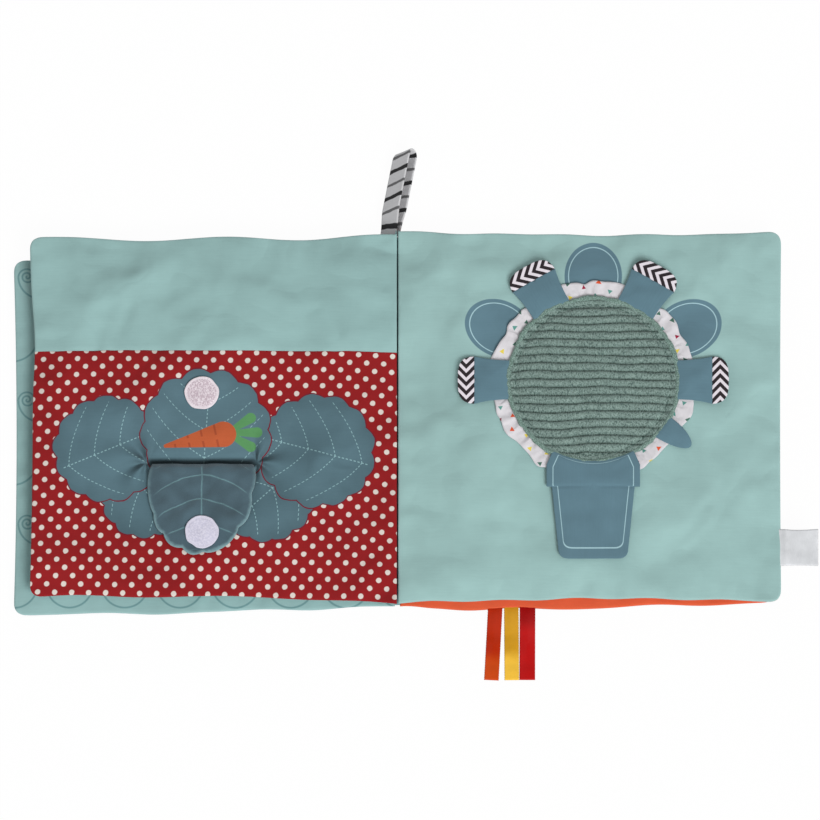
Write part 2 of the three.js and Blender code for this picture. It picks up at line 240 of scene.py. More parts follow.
def cut_off(piece: Piece, at: Array, towards: Array) -> None:
    """Cuts the piece by a plane, drops what lies on the far side and closes the cut.

    Args:
        piece: The closed piece to cut.
        at: A point of the plane, in millimetres.
        towards: The direction of what is dropped.
    """
    edit_all(
        piece,
        lambda: bpy.ops.mesh.bisect(
            plane_co=tuple(at * MM), plane_no=tuple(towards), use_fill=True, clear_outer=True
        ),
    )


def part_cloths(piece: Piece, names: Sequence[str], wall: float) -> list[Piece]:
    """Parts a closed pillow into its cloths and gives each cloth its thickness inwards.

    Args:
        piece: The pillow, whose faces carry one material for each cloth.
        names: The cloths' names, in the order of the materials.
        wall: The cloth's thickness in millimetres.

    Returns:
        The cloths, in the order of their names.
    """
    finishes = [slot.material for slot in piece.material_slots]
    edit_all(piece, lambda: bpy.ops.mesh.separate(type="MATERIAL"))
    parts = {part.data.materials[0].name: part for part in bpy.context.selected_objects}
    cloths = [named(parts[finish.name], name) for name, finish in zip(names, finishes)]
    for cloth in cloths:
        thicken(cloth, wall, offset=-1.0)
    return cloths


# Shapes in numbers


def waves(x: Array, y: Array, seed: int, shortest: float, longest: float) -> Array:
    """Smooth irregular waves of about unit height.

    Args:
        x: Places across, in millimetres.
        y: Places upwards, in millimetres.
        seed: Chooses one pattern.
        shortest: The shortest wave, in millimetres.
        longest: The longest wave, in millimetres.

    Returns:
        The height at each place.
    """
    rng = np.random.default_rng(seed)
    total = np.zeros_like(x)
    count = 10
    for _ in range(count):
        length, turn, phase = rng.uniform(shortest, longest), *rng.uniform(0, 2 * math.pi, 2)
        total += np.sin((x * math.cos(turn) + y * math.sin(turn)) * 2 * math.pi / length + phase)
    return total / math.sqrt(count / 2)


def ease(value: Array) -> Array:
    """Runs smoothly from 0 to 1 as the value does."""
    t = np.clip(value, 0, 1)
    return t * t * (3 - 2 * t)


def bell(value: Array | float, width: float) -> Array | float:
    """A soft bump that is 1 where the value is 0."""
    return np.exp(-((value / width) ** 2))


def quarter_round(share: Array | float) -> Array | float:
    """Falls from 1 to 0 as a quarter of a circle does, as the share runs from 0 to 1."""
    return np.sqrt(np.clip(1 - share ** 2, 0, 1))


def spin(x: Array, y: Array, angle: float) -> tuple[Array, Array]:
    """Turns places of a plane about its origin by an angle in radians."""
    return (x * math.cos(angle) - y * math.sin(angle),
            x * math.sin(angle) + y * math.cos(angle))


def mix(low: Array | float, high: Array | float, share: Array | float) -> Array | float:
    """Returns what lies at that share of the way from low to high."""
    return low + (high - low) * share


def stack(x: Array, y: Array, z: Array) -> Array:
    """Joins three coordinates into rows."""
    return np.column_stack(np.broadcast_arrays(x, y, z)).astype(float)


def curve(start: Array, *handles: Array, steps: int = 12) -> Array:
    """Points of a Bezier curve of any degree.

    Args:
        start: Where it starts.
        handles: Its other control points, the last of them its end.
        steps: How many points it has.

    Returns:
        The points, without the first one.
    """
    points = np.array([start, *handles], float)
    shares = np.linspace(0, 1, steps + 1)[1:]
    found = []
    for share in shares:
        line = points
        while len(line) > 1:
            line = mix(line[:-1], line[1:], share)
        found.append(line[0])
    return np.array(found)


def run_of(line: Array) -> Array:
    """Distances along a line of plan places, from 0 at its start."""
    return np.concatenate([[0], np.cumsum(np.hypot(*np.diff(line, axis=0).T))])


def round_outline(outline: Array, share: Array) -> Array:
    """Finds places on a closed outline.

    Args:
        outline: The outline's points.
        share: Shares of the way round it.

    Returns:
        One place for each share.
    """
    closed = np.vstack([outline, outline[:1]])
    run = run_of(closed)
    along = (share % 1.0) * run[-1]
    return np.column_stack([np.interp(along, run, closed[:, k]) for k in (0, 1)])


@dataclass
class Pillow:
    """A thin closed cushion over a plan outline, sewn along its rim."""

    name: str
    outline: Array
    low: float
    high: float
    middle: Spot
    crown: float = 0.0
    edge: float = 0.4
    around: int = 144
    rings: int = 24
    wrinkle: float = 0.12
    seed: int = 1

    def build(self, degrees: float = 0.0, centre: Spot = (0.0, 0.0),
              rise: Callable[[Array], Array] | None = None) -> Piece:
        """Builds the cushion from a sphere.

        Args:
            degrees: How far the outline is turned about its own origin.
            centre: Where that origin goes.
            rise: Gives the lift of each place from its place in the outline's plan.

        Returns:
            The cushion, with its flat plan as its cloth map and its rim marked.
        """
        clear_selection()
        bpy.ops.mesh.primitive_uv_sphere_add(segments=self.around, ring_count=self.rings,
                                             radius=1.0)
        piece = named(bpy.context.object, self.name)
        ball = corners(piece) * MM
        out = np.hypot(ball[:, 0], ball[:, 1])
        share = np.arctan2(ball[:, 1], ball[:, 0]) / (2 * math.pi)
        middle = np.array(self.middle)
        flat = middle + out[:, None] * (round_outline(self.outline, share) - middle)
        side = np.sign(ball[:, 2]) * np.abs(ball[:, 2]) ** self.edge
        half = (self.high - self.low) / 2
        inner = 1 - out ** 4
        upper = np.clip(side, 0, 1)
        bumps = waves(*flat.T, self.seed, 7, 16) * self.wrinkle * inner
        z = (self.low + self.high) / 2 + side * half + upper * (self.crown * (1 - out ** 2) + bumps)
        if rise is not None:
            z = z + rise(flat)
        x, y = spin(*flat.T, math.radians(degrees))
        lay(piece, stack(x + centre[0], y + centre[1], z))
        map_cloth(piece, flat)
        mark(piece, "rim", out)
        smooth_shade(piece)
        return piece

    def face_sides(self, piece: Piece, top: bpy.types.Material, under: bpy.types.Material) -> None:
        """Gives the upper and the under half of the cushion their own finishes.

        Args:
            piece: The cushion.
            top: The finish of the faces that look up.
            under: The finish of the others.
        """
        piece.data.materials.append(top)
        piece.data.materials.append(under)
        for face in piece.data.polygons:
            face.material_index = 0 if face.normal.z > 0 else 1


# Shader work


def linear(colour: Colour) -> tuple[float, float, float, float]:
    """Turns a colour of 0 to 255, as seen on a screen, into the renderer's values."""
    parts = [c / 255 for c in colour]
    return (*[p / 12.92 if p <= 0.04045 else ((p + 0.055) / 1.055) ** 2.4 for p in parts], 1.0)


class Wire:
    """A number that flows through a shader tree, with the usual arithmetic."""

    def __init__(self, wires: "Wires", socket: Socket) -> None:
        """Wraps one output socket."""
        self.wires = wires
        self.socket = socket

    def _do(self, operation: str, *others: "Wire | float") -> "Wire":
        """Applies one math operation to this number."""
        return self.wires.math(operation, self, *others)

    def __add__(self, other: "Wire | float") -> "Wire":
        """Adds."""
        return self._do("ADD", other)

    def __sub__(self, other: "Wire | float") -> "Wire":
        """Subtracts."""
        return self._do("SUBTRACT", other)

    def __mul__(self, other: "Wire | float") -> "Wire":
        """Multiplies."""
        return self._do("MULTIPLY", other)

    def __truediv__(self, other: "Wire | float") -> "Wire":
        """Divides."""
        return self._do("DIVIDE", other)

    def size(self) -> "Wire":
        """Drops the sign."""
        return self._do("ABSOLUTE")

    def sine(self) -> "Wire":
        """Takes the sine of an angle in radians."""
        return self._do("SINE")

    def whole(self) -> "Wire":
        """Rounds down."""
        return self._do("FLOOR")

    def cycle(self, length: float) -> "Wire":
        """What is left after whole lengths, never below 0."""
        return self._do("FLOORED_MODULO", length)

    def least(self, other: "Wire | float") -> "Wire":
        """The smaller of two numbers."""
        return self._do("MINIMUM", other)

    def most(self, other: "Wire | float") -> "Wire":
        """The larger of two numbers."""
        return self._do("MAXIMUM", other)

    def below(self, limit: float, soft: float = 0.12) -> "Wire":
        """Masks where the number is below a limit.

        Args:
            limit: The limit.
            soft: Half the width of the mask's soft edge.

        Returns:
            A number that is 1 below the limit and 0 above it.
        """
        node = self.wires.add("ShaderNodeMapRange", self, limit - soft, limit + soft, 1.0, 0.0,
                              interpolation_type="SMOOTHSTEP")
        return Wire(self.wires, node.outputs[0])

    def above(self, limit: float, soft: float = 0.12) -> "Wire":
        """A mask that is 1 where the number is above the limit."""
        return self.wires.math("SUBTRACT", 1.0, self.below(limit, soft))

    def near(self, limit: float, soft: float = 0.12) -> "Wire":
        """A mask that is 1 where the number is nearer to 0 than the limit."""
        return self.size().below(limit, soft)

    def repeat(self, length: float) -> "Wire":
        """Repeats the number from half a length below 0 to half a length above it."""
        return self.cycle(length) - length / 2

    def swing(self, size: "Wire | float") -> "Wire":
        """Turns noise from 0 to 1 into noise round 0 that is that wide."""
        return (self - 0.5) * size


class Wires:
    """Adds the nodes of one shader tree and joins them."""

    def __init__(self, tree: Tree) -> None:
        """Starts on an empty tree."""
        self.tree = tree

    def join(self, value: object, socket: Socket) -> None:
        """Links a wire or socket to the socket, or sets a number or a colour on it."""
        if isinstance(value, Wire):
            value = value.socket
        if isinstance(value, Socket):
            self.tree.links.new(value, socket)
        else:
            socket.default_value = linear(value) if isinstance(value, tuple) else value

    def add(self, kind: str, *values: object, **settings: object) -> bpy.types.Node:
        """Adds a node.

        Args:
            kind: The node's kind, as Blender names it.
            values: What its first inputs get, in order.
            settings: The node's properties.

        Returns:
            The new node.
        """
        node = self.tree.nodes.new(kind)
        set_all(node, settings)
        for value, socket in zip(values, node.inputs):
            self.join(value, socket)
        return node

    def feed(self, node: bpy.types.Node, values: dict[str, object]) -> None:
        """Joins values to a node's inputs by name."""
        for name, value in values.items():
            self.join(value, node.inputs[name])

    def math(self, operation: str, *values: Wire | float) -> Wire:
        """Adds one math node."""
        return Wire(self, self.add("ShaderNodeMath", *values, operation=operation).outputs[0])

    def reach(self, east: Wire, north: Wire) -> Wire:
        """How far a place is from the origin of its two numbers."""
        return self.math("SQRT", east * east + north * north)

    def mix(self, share: Wire | float, low: object, high: object, **settings: object) -> Socket:
        """Mixes two colours.

        Args:
            share: How much of the second colour there is.
            low: The colour at share 0.
            high: The colour at share 1.
            settings: Properties of the node, such as its blend type.

        Returns:
            The mixed colour.
        """
        node = self.add("ShaderNodeMix", data_type="RGBA", **settings)
        for index, value in ((0, share), (6, low), (7, high)):
            self.join(value, node.inputs[index])
        return node.outputs[2]

    def shade(self, colour: object, tone: Wire) -> Socket:
        """Multiplies a colour by a number."""
        grey = self.add("ShaderNodeCombineColor", tone, tone, tone)
        return self.mix(1.0, colour, grey.outputs[0], blend_type="MULTIPLY")

    def parts(self, place: Socket) -> tuple[Wire, Wire, Wire]:
        """Splits a place into its three numbers."""
        node = self.add("ShaderNodeSeparateXYZ", place)
        return tuple(Wire(self, socket) for socket in node.outputs)

    def place(self, x: Wire | float, y: Wire | float, z: Wire | float = 0.0) -> Socket:
        """Joins three numbers into a place."""
        return self.add("ShaderNodeCombineXYZ", x, y, z).outputs[0]

    def noise(self, place: Socket, size: float, detail: float = 2.0) -> Wire:
        """Adds soft noise from 0 to 1.

        Args:
            place: Where it is read.
            size: The size of its lumps, in millimetres.
            detail: How many finer layers it has.

        Returns:
            The noise.
        """
        node = self.add("ShaderNodeTexNoise")
        self.feed(node, {"Vector": place, "Scale": 1 / size, "Detail": detail})
        return Wire(self, node.outputs[0])

    def attribute(self, name: str) -> Wire:
        """Reads one of the piece's own marks."""
        return Wire(self, self.add("ShaderNodeAttribute", attribute_name=name).outputs["Fac"])

    def effect(self, tree: Tree, **values: object) -> dict[str, Wire]:
        """Places a shared effect.

        Args:
            tree: The effect's node group.
            values: Its inputs by name.

        Returns:
            Its outputs by name.
        """
        node = self.add("ShaderNodeGroup", node_tree=tree)
        self.feed(node, values)
        return {socket.name: Wire(self, socket) for socket in node.outputs}


def shared_effect(name: str, inputs: dict[str, float | None],
                  wire_up: Callable[[Wires, dict[str, Wire]], dict[str, Wire]]) -> Tree:
    """Returns the node group of that name, built the first time it is asked for.

    Args:
        name: The effect's name.
        inputs: Its inputs and their usual numbers; None stands for a place.
        wire_up: Adds its nodes, from its inputs to a number for each output.

    Returns:
        The node group.
    """
    if name in bpy.data.node_groups:
        return bpy.data.node_groups[name]
    tree = bpy.data.node_groups.new(name, "ShaderNodeTree")
    for key, value in inputs.items():
        kind = "NodeSocketVector" if value is None else "NodeSocketFloat"
        socket = tree.interface.new_socket(name=key, in_out="INPUT", socket_type=kind)
        if value is not None:
            socket.default_value = value
    wires = Wires(tree)
    given = wires.add("NodeGroupInput")
    made = wire_up(wires, {s.name: Wire(wires, s) for s in given.outputs if s.name})
    for key in made:
        tree.interface.new_socket(name=key, in_out="OUTPUT", socket_type="NodeSocketFloat")
    wires.add("NodeGroupOutput", *made.values())
    return tree


def weave_effect() -> Tree:
    """Fine plain weave: the height of its threads and an uneven tone round 1."""

    def wire_up(wires: Wires, given: dict[str, Wire]) -> dict[str, Wire]:
        """Crosses two sets of threads and adds slubs."""
        x, y, _ = wires.parts(given["Place"].socket)
        pitch = given["Pitch"]
        warp = (x / pitch * math.pi).sine().size()
        weft = (y / pitch * math.pi).sine().size()
        slub = wires.noise(wires.place(x * 0.12, y * 2.0), 1.3)
        mottle = wires.noise(given["Place"].socket, 11.0, 3.0)
        tone = slub.swing(given["Mottle"]) + mottle.swing(given["Mottle"]) * 1.6 + 1.0
        return {"Height": warp * weft + slub * 0.5, "Tone": tone}

    return shared_effect("weave", {"Place": None, "Pitch": 0.4, "Mottle": 0.1}, wire_up)


def crumple_effect() -> Tree:
    """Soft creases of a stuffed cloth, in millimetres of height."""

    def wire_up(wires: Wires, given: dict[str, Wire]) -> dict[str, Wire]:
        """Adds broad and narrow creases."""
        x, y, z = wires.parts(given["Place"].socket)
        drift = wires.noise(given["Place"].socket, 40.0, 1.0) * 22.0
        bent = wires.place(x + drift, y * 1.15 - drift, z)
        broad = wires.noise(bent, 40.0, 1.0)
        crease = (wires.noise(bent, 19.0, 1.0) - 0.5).size()
        return {"Height": (broad * 3.0 + crease * 0.3) * given["Depth"]}

    return shared_effect("crumple", {"Place": None, "Depth": 0.3}, wire_up)


def vein_effect() -> Tree:
    """Dashed veins along a middle line and out to both sides of it."""

    def wire_up(wires: Wires, given: dict[str, Wire]) -> dict[str, Wire]:
        """Marks the middle line and the side lines, both dashed."""
        along, across, _ = wires.parts(given["Place"].socket)
        aside = across.size()
        middle = aside.below(0.2, 0.1) * along.cycle(1.9).below(1.05)
        slant = along - aside * 0.42 - aside * aside * 0.017
        line = slant.repeat(13.0).near(0.2, 0.1)
        line = line * (aside * 1.2).cycle(1.9).below(1.05)
        return {"Vein": middle.most(line) * given["Inside"].below(-3.2, 0.4)}

    return shared_effect("dashed_veins", {"Place": None, "Inside": -9.0}, wire_up)


def bush_effect() -> Tree:
    """One printed round bush with a scalloped rim: its body, its outline and its veins."""

    def wire_up(wires: Wires, given: dict[str, Wire]) -> dict[str, Wire]:
        """Measures how far each place is from the scalloped rim."""
        x, y, _ = wires.parts(given["Place"].socket)
        east, north = x - given["MiddleX"], y - given["MiddleY"]
        angle = wires.math("ARCTAN2", north, east) + given["Turn"]
        reach = wires.reach(east, north)
        lobe = (angle * 6.5).sine().size()
        uneven = wires.noise(given["Place"].socket, 9.0).swing(2.4)
        far = reach - given["Reach"] * (lobe * 0.07 + 0.92) + uneven
        bent = wires.place(reach * wires.math("COSINE", angle) + given["Reach"],
                           reach * angle.sine())
        vein = wires.effect(vein_effect(), Place=bent, Inside=far)["Vein"]
        return {"Body": far.below(0.0), "Outline": (far + 0.1).near(0.28), "Vein": vein,
                "Depth": (far * -0.12).most(0.0).least(1.0)}

    inputs = {"Place": None, "MiddleX": 0.0, "MiddleY": 0.0, "Reach": 30.0, "Turn": 0.0}
    return shared_effect("scalloped_bush", inputs, wire_up)


def nap_effect() -> Tree:
    """The nap of velour, loops and brushed yarn: a height and a tone round 1."""

    def wire_up(wires: Wires, given: dict[str, Wire]) -> dict[str, Wire]:
        """Mixes fine tufts with broader brushed patches."""
        place = given["Place"].socket
        tuft = wires.noise(place, 0.5, 3.0)
        brushed = wires.noise(place, 6.0, 2.0)
        tone = tuft.swing(given["Contrast"]) + brushed.swing(given["Contrast"]) * 0.8 + 1.0
        return {"Height": tuft * 0.7 + brushed * 0.3, "Tone": tone}

    return shared_effect("nap", {"Place": None, "Contrast": 0.4}, wire_up)


# Finishes


class Reads(Enum):
    """What a finish's pattern follows."""

    PLACE = "the piece's own place"
    CLOTH = "its cloth lying flat"


@dataclass(frozen=True)
class Cloth:
    """Plain woven cloth, the ground of every printed one."""

    name: str
    colour: Colour
    reads: Reads = Reads.PLACE
    roughness: float = 0.86
    sheen: float = 0.12
    pitch: float = 0.42
    mottle: float = 0.10
    depth: float = 0.05
    creases: float = 1.0

    def material(self) -> bpy.types.Material:
        """Returns the material, built the first time."""
        name = f"{self.name}_finish"
        if name in bpy.data.materials:
            return bpy.data.materials[name]
        made = bpy.data.materials.new(name)
        made.use_nodes = True
        wires = Wires(made.node_tree)
        shader = made.node_tree.nodes["Principled BSDF"]
        colour, height = self.surface(wires, self.place(wires))
        bump = wires.add("ShaderNodeBump")
        wires.feed(bump, {"Distance": MM, "Height": height})
        wires.feed(shader, {**self.gloss(), "Base Color": colour, "Normal": bump.outputs[0]})
        return made

    def gloss(self) -> dict[str, float]:
        """The plain values on the shader's own sockets."""
        return {"Roughness": self.roughness, "Specular IOR Level": 0.25,
                "Sheen Weight": self.sheen, "Sheen Roughness": 0.5}

    def place(self, wires: Wires) -> Socket:
        """The place of the pattern, in millimetres."""
        if self.reads is Reads.CLOTH:
            return wires.add("ShaderNodeUVMap", uv_map=CLOTH_MAP).outputs[0]
        own = wires.add("ShaderNodeTexCoord").outputs["Object"]
        scaled = wires.add("ShaderNodeVectorMath", own, operation="SCALE")
        wires.feed(scaled, {"Scale": 1 / MM})
        return scaled.outputs[0]

    def surface(self, wires: Wires, place: Socket) -> tuple[object, Wire]:
        """Wires up the cloth's look.

        Args:
            wires: The material's tree.
            place: The place of the pattern, in millimetres.

        Returns:
            The cloth's colour and its height in millimetres.
        """
        weave = wires.effect(weave_effect(), Place=place, Pitch=self.pitch, Mottle=self.mottle)
        creased = wires.effect(crumple_effect(), Place=place, Depth=self.creases)["Height"]
        colour = self.prints(wires, place)
        return wires.shade(colour, weave["Tone"]), weave["Height"] * self.depth + creased

    def prints(self, wires: Wires, place: Socket) -> object:
        """The colour before the weave's own tone."""
        return self.colour

    def dress(self, piece: Piece) -> None:
        """Makes this the piece's only finish."""
        piece.data.materials.clear()
        piece.data.materials.append(self.material())


@dataclass(frozen=True)
class GardenCloth(Cloth):
    """Red cloth with staggered cream dots and a printed row of slate bushes and a carrot."""

    dot: Colour = (218, 208, 200)
    dot_radius: float = 1.25
    dot_pitch: Spot = (8.0, 7.8)
    body: Colour = (84, 112, 122)
    outline: Colour = (112, 22, 40)
    vein: Colour = (146, 184, 188)
    bushes: tuple[tuple[float, ...], ...] = (  # place, radius, turn and tone of each
        (-118.0, -38.0, 23.0, 0.9, 0.92), (-62.0, -39.0, 24.0, 2.4, 0.9),
        (-136.0, -17.0, 26.5, -0.4, 1.0), (-38.0, -18.0, 28.5, 3.4, 0.97),
        (-90.0, -9.0, 31.5, -1.5, 1.05))

    def prints(self, wires: Wires, place: Socket) -> object:
        """Lays dots, then bushes from back to front, then the carrot."""
        x, y, _ = wires.parts(place)
        wobble = wires.noise(place, 1.2).swing(0.35)
        rows = [wires.reach((x - y * 0.06 + shift_x).repeat(self.dot_pitch[0]),
                            (y + x * 0.015 + shift_y).repeat(self.dot_pitch[1]))
                for shift_x, shift_y in ((0.0, 6.3), (4.0, 10.2))]
        far = rows[0].least(rows[1]) + wobble
        colour = wires.mix(far.below(self.dot_radius, 0.16), self.colour, self.dot)
        for east, north, reach, turn, tone in self.bushes:
            made = wires.effect(bush_effect(), Place=place, MiddleX=east, MiddleY=north,
                                Reach=reach, Turn=turn)
            ground = wires.shade(self.body, made["Depth"] * 0.14 + 0.9 * tone)
            colour = wires.mix(made["Body"], colour, ground)
            colour = wires.mix(made["Vein"], colour, self.vein)
            colour = wires.mix(made["Outline"], colour, self.outline)
        return self.carrot(wires, x, y, colour)

    def surface(self, wires: Wires, place: Socket) -> tuple[object, Wire]:
        """Adds the creases that run out from both ends of the flap's slit, and paints shade into
        the slit itself.
        """
        colour, height = super().surface(wires, place)
        x, y, _ = wires.parts(place)
        for end, way in ((-118.0, -1.0), (-66.0, 1.0)):
            east, north = (x - end) * way, y + 23.5
            reach = wires.reach(east, north)
            angle = wires.math("ARCTAN2", north, east)
            fold = (angle * 5.0 + way + reach * 0.08).sine()
            fade = (reach / -24.0 + 1.0).most(0.0) * reach.above(2.5, 2.0)
            height = height + fold * (fade * angle.near(1.9, 0.4)) * 1.9
        # Painted shade: the cloth is darkened along the flap's slit, where the recess lies in
        # shadow.
        painted_slit_shade = (y + 23.6).near(2.1, 1.1) * (x - FLAP_HINGE[0]).near(25.5, 2.5)
        return wires.shade(colour, painted_slit_shade * -0.8 + 1.0), height

    def carrot(self, wires: Wires, x: Wire, y: Wire, colour: object) -> object:
        """Prints a carrot with a leafy top between the flap's seam and the coin.

        Args:
            wires: The material's tree.
            x: Places across.
            y: Places upwards.
            colour: What is printed already.

        Returns:
            The colour with the carrot on it.
        """
        far, share = taper(wires, x, y, (-82.0, -10.0), (-109.0, -15.5), 6.2, 0.9)
        tips = ((-69.0, -2.0), (-66.0, -9.0), (-69.0, -16.0))
        leaves = [taper(wires, x, y, (-80.0, -9.5), tip, 1.0, 2.5)[0] for tip in tips]
        top = leaves[0].least(leaves[1]).least(leaves[2])
        ring = share.repeat(0.24).near(0.018, 0.008)
        nick = ring * (y + 11.0 + share * 3.0).size().above(1.08)
        colour = wires.mix(top.below(0.0), colour, (88, 146, 92))
        body = wires.mix(nick * 0.7, (186, 90, 52), (150, 66, 40))
        return wires.mix(far.below(0.0), colour, body)


def taper(wires: Wires, x: Wire, y: Wire, start: Spot, end: Spot, thick: float,
          thin: float) -> tuple[Wire, Wire]:
    """How far places are from a tapered stroke.

    Args:
        wires: The tree.
        x: Places across.
        y: Places upwards.
        start: Where the stroke starts.
        end: Where it ends.
        thick: Its half width at the start.
        thin: Its half width at the end.

    Returns:
        The distance from its rim, below 0 inside, and the share along it.
    """
    dx, dy = end[0] - start[0], end[1] - start[1]
    span = dx * dx + dy * dy
    share = (((x - start[0]) * dx + (y - start[1]) * dy) / span).most(0.0).least(1.0)
    reach = wires.reach(x - start[0] - share * dx, y - start[1] - share * dy)
    return reach - (share * (thin - thick) + thick), share


@dataclass(frozen=True)
class PetalPage(Cloth):
    """Pale teal page with three printed slate petals behind the padded disc."""

    middle: Spot = DISC_CENTRE
    body: Colour = SLATE_INK
    line: Colour = PALE_LINE
    out: float = 51.0
    long: float = 17.0
    half: float = 13.5

    def prints(self, wires: Wires, place: Socket) -> object:
        """Repeats one petal every sixth of a turn over the upper half."""
        x, y, _ = wires.parts(place)
        east, north = x - self.middle[0], y - self.middle[1]
        reach = wires.reach(east, north)
        angle = wires.math("ARCTAN2", north, east)
        local = angle.repeat(math.pi / 3)
        along = reach * wires.math("COSINE", local)
        across = reach * local.sine() / self.half
        long = (along - self.out) / self.long
        far = (wires.reach(long, across) - 1.0) * self.half
        upper = angle.above(0.0, 0.01)
        # Painted shade: each printed petal is made darker towards the disc that stands over it.
        shade = wires.shade(self.body, long * 0.08 + 0.95)
        colour = wires.mix(far.below(0.0) * upper, self.colour, shade)
        return wires.mix((far + 1.9).near(0.2, 0.1) * upper, colour, self.line)


@dataclass(frozen=True)
class CurlCloth(Cloth):
    """Pale teal lining printed with small dark curls on thin slanting stems."""

    curl: Colour = (104, 143, 145)
    wide: float = 26.0
    tall: float = 30.0
    coil: float = 1.9
    small: float = 4.2
    stem: float = 11.0
    thick: float = 0.42

    def prints(self, wires: Wires, place: Socket) -> object:
        """Draws one coil and the long arc that it grows from in each cell of a lattice."""
        x, y, _ = wires.parts(place)
        up = y + 9.0
        row = (up / self.tall).whole()
        east = (x + row.cycle(2.0) * self.wide * 0.5).repeat(self.wide)
        north = up.repeat(self.tall) - 4.0
        across = east + 5.0
        turn = wires.math("ARCTAN2", north, across) / (2 * math.pi)
        coil = wires.reach(across, north) - turn * self.coil + self.coil / 2 - self.small
        curl = (coil + self.coil / 2).repeat(self.coil).near(self.thick, 0.25)
        east = east - 1.8
        arc = (wires.reach(east, north) - self.stem).near(self.thick, 0.25)
        arc = arc * (north + east * 0.18).below(-2.0, 0.2)
        return wires.mix((curl * coil.below(0.45)).most(arc) * 0.95, self.colour, self.curl)


@dataclass(frozen=True)
class DashCloth(Cloth):
    """Blue outer cloth with short white dashes."""

    dash: Colour = (226, 234, 240)
    row: float = 4.0
    pitch_along: float = 6.0

    def prints(self, wires: Wires, place: Socket) -> object:
        """Staggers slanting dashes."""
        x, y, _ = wires.parts(place)
        slant = x * 0.8 + y * 0.6
        row = (slant / self.row).whole()
        along = (y * 0.8 - x * 0.6 + row * 3.1).repeat(self.pitch_along)
        mask = along.near(self.pitch_along / 4) * slant.repeat(self.row).near(self.row / 8)
        return wires.mix(mask, self.colour, self.dash)


@dataclass(frozen=True)
class ChevronCloth(Cloth):
    """Black and white chevrons, side by side across a petal's tip."""

    dark: Colour = (35, 28, 32)
    pitch: float = 4.3
    swing: float = 8.6
    bend: float = 59.7

    def prints(self, wires: Wires, place: Socket) -> object:
        """Folds the stripes into a zigzag."""
        along, across, _ = wires.parts(place)
        fold = (along - self.bend + self.swing / 2).repeat(self.swing).size()
        stripe = (across + fold * 1.05).repeat(self.pitch)
        return wires.mix(stripe.near(self.pitch * 0.27, 0.1), self.colour, self.dark)


@dataclass(frozen=True)
class EdgedCloth(Cloth):
    """Slate cloth with a thin pale outline printed inside its rim."""

    line: Colour = PALE_LINE
    at: float = 0.86
    thick: float = 0.008

    def prints(self, wires: Wires, place: Socket) -> object:
        """Follows the rim that the piece marks, with painted shade that darkens the cloth towards
        it.
        """
        rim = wires.attribute("rim")
        # Random tone, less painted shade towards the rim, where the edge rounds away.
        ground = wires.shade(self.colour, wires.noise(place, 14.0) * 0.16 + 0.92 - rim * 0.06)
        return wires.mix((rim - self.at).near(self.thick, 0.006), ground, self.line)


@dataclass(frozen=True)
class Velour(Cloth):
    """Brushed dark slate velour with pale veins and a lighter rim, partly pale fuzz and partly
    painted sheen.
    """

    vein: Colour = (112, 150, 156)
    # Colour of the rim: pale fuzz with painted sheen.
    edge: Colour = (130, 165, 170)
    sheen: float = 0.35
    middle: Spot = FLAP_HINGE

    def surface(self, wires: Wires, place: Socket) -> tuple[object, Wire]:
        """Colours the nap along its veins, and its rim pale with fuzz and painted sheen."""
        nap = wires.effect(nap_effect(), Place=place, Contrast=0.3)
        x, y, z = wires.parts(place)
        rim = wires.attribute("rim")
        worn = wires.noise(place, 2.2, 3.0)
        drift = wires.noise(place, 9.0).swing(2.0)
        aside, down = (x - self.middle[0] + drift * 0.5).size(), (y - self.middle[1]) * -1.0
        arch = down - aside * 0.1 - aside * aside * 0.015 + drift
        side = arch.repeat(12.0).near(0.3, 0.35) * aside.below(21.0, 4.0)
        vein = side.most(aside.below(0.3, 0.35)) * (worn * 0.9 + 0.2) * rim.below(0.9, 0.08)
        colour = wires.mix(vein, self.colour, self.vein)
        # The pale rim is partly the velour's own fuzz and partly a painted sheen, stronger further
        # from the hinge.
        pale_rim_and_sheen = (rim + worn * 0.07).above(0.995, 0.04) * down.above(2.5, 1.0)
        colour = wires.mix(pale_rim_and_sheen * (down * 0.016 + 0.15), colour, self.edge)
        height = nap["Height"] * 0.22 - vein * 0.25
        bent = wires.place(x * 0.7 + drift, y + drift, z)
        creased = wires.noise(bent, 11.0, 1.0) * self.creases
        patches = wires.noise(place, 13.0, 1.0).swing(0.9)
        return wires.shade(colour, nap["Tone"] + patches), height + creased


@dataclass(frozen=True)
class Corduroy(Cloth):
    """Thick ribbed knit with brushed flecks, its grooves painted dark as painted shade between the
    ribs.
    """

    # Painted shade: the colour at the bottom of each groove.
    groove: Colour = (32, 50, 44)
    fleck: Colour = (164, 188, 179)
    sheen: float = 0.25

    def surface(self, wires: Wires, place: Socket) -> tuple[object, Wire]:
        """Follows the ribs that the piece marks, painting shade into the grooves between them."""
        x, y, z = wires.parts(place)
        rib = wires.attribute("rib")
        knit = wires.noise(wires.place(x * 1.3, y * 0.7, z), 0.75, 2.0)
        loop = (x * (math.pi / 0.62) + (y * (math.pi / 1.1)).sine() * 1.5).sine().size()
        nap = wires.effect(nap_effect(), Place=place, Contrast=0.5)
        # Painted shade: the cloth goes to the dark groove colour where the marked ribs are low.
        lit = (rib - 0.2 + knit.swing(0.5)).above(0.25, 0.25)
        colour = wires.mix(lit, self.groove, self.colour)
        fleck = (knit * 0.7 + loop * 0.3).above(0.56, 0.06)
        colour = wires.mix(fleck * rib * 0.8, colour, self.fleck)
        return wires.shade(colour, nap["Tone"]), knit * 0.25 + loop * 0.12 + nap["Height"] * 0.1


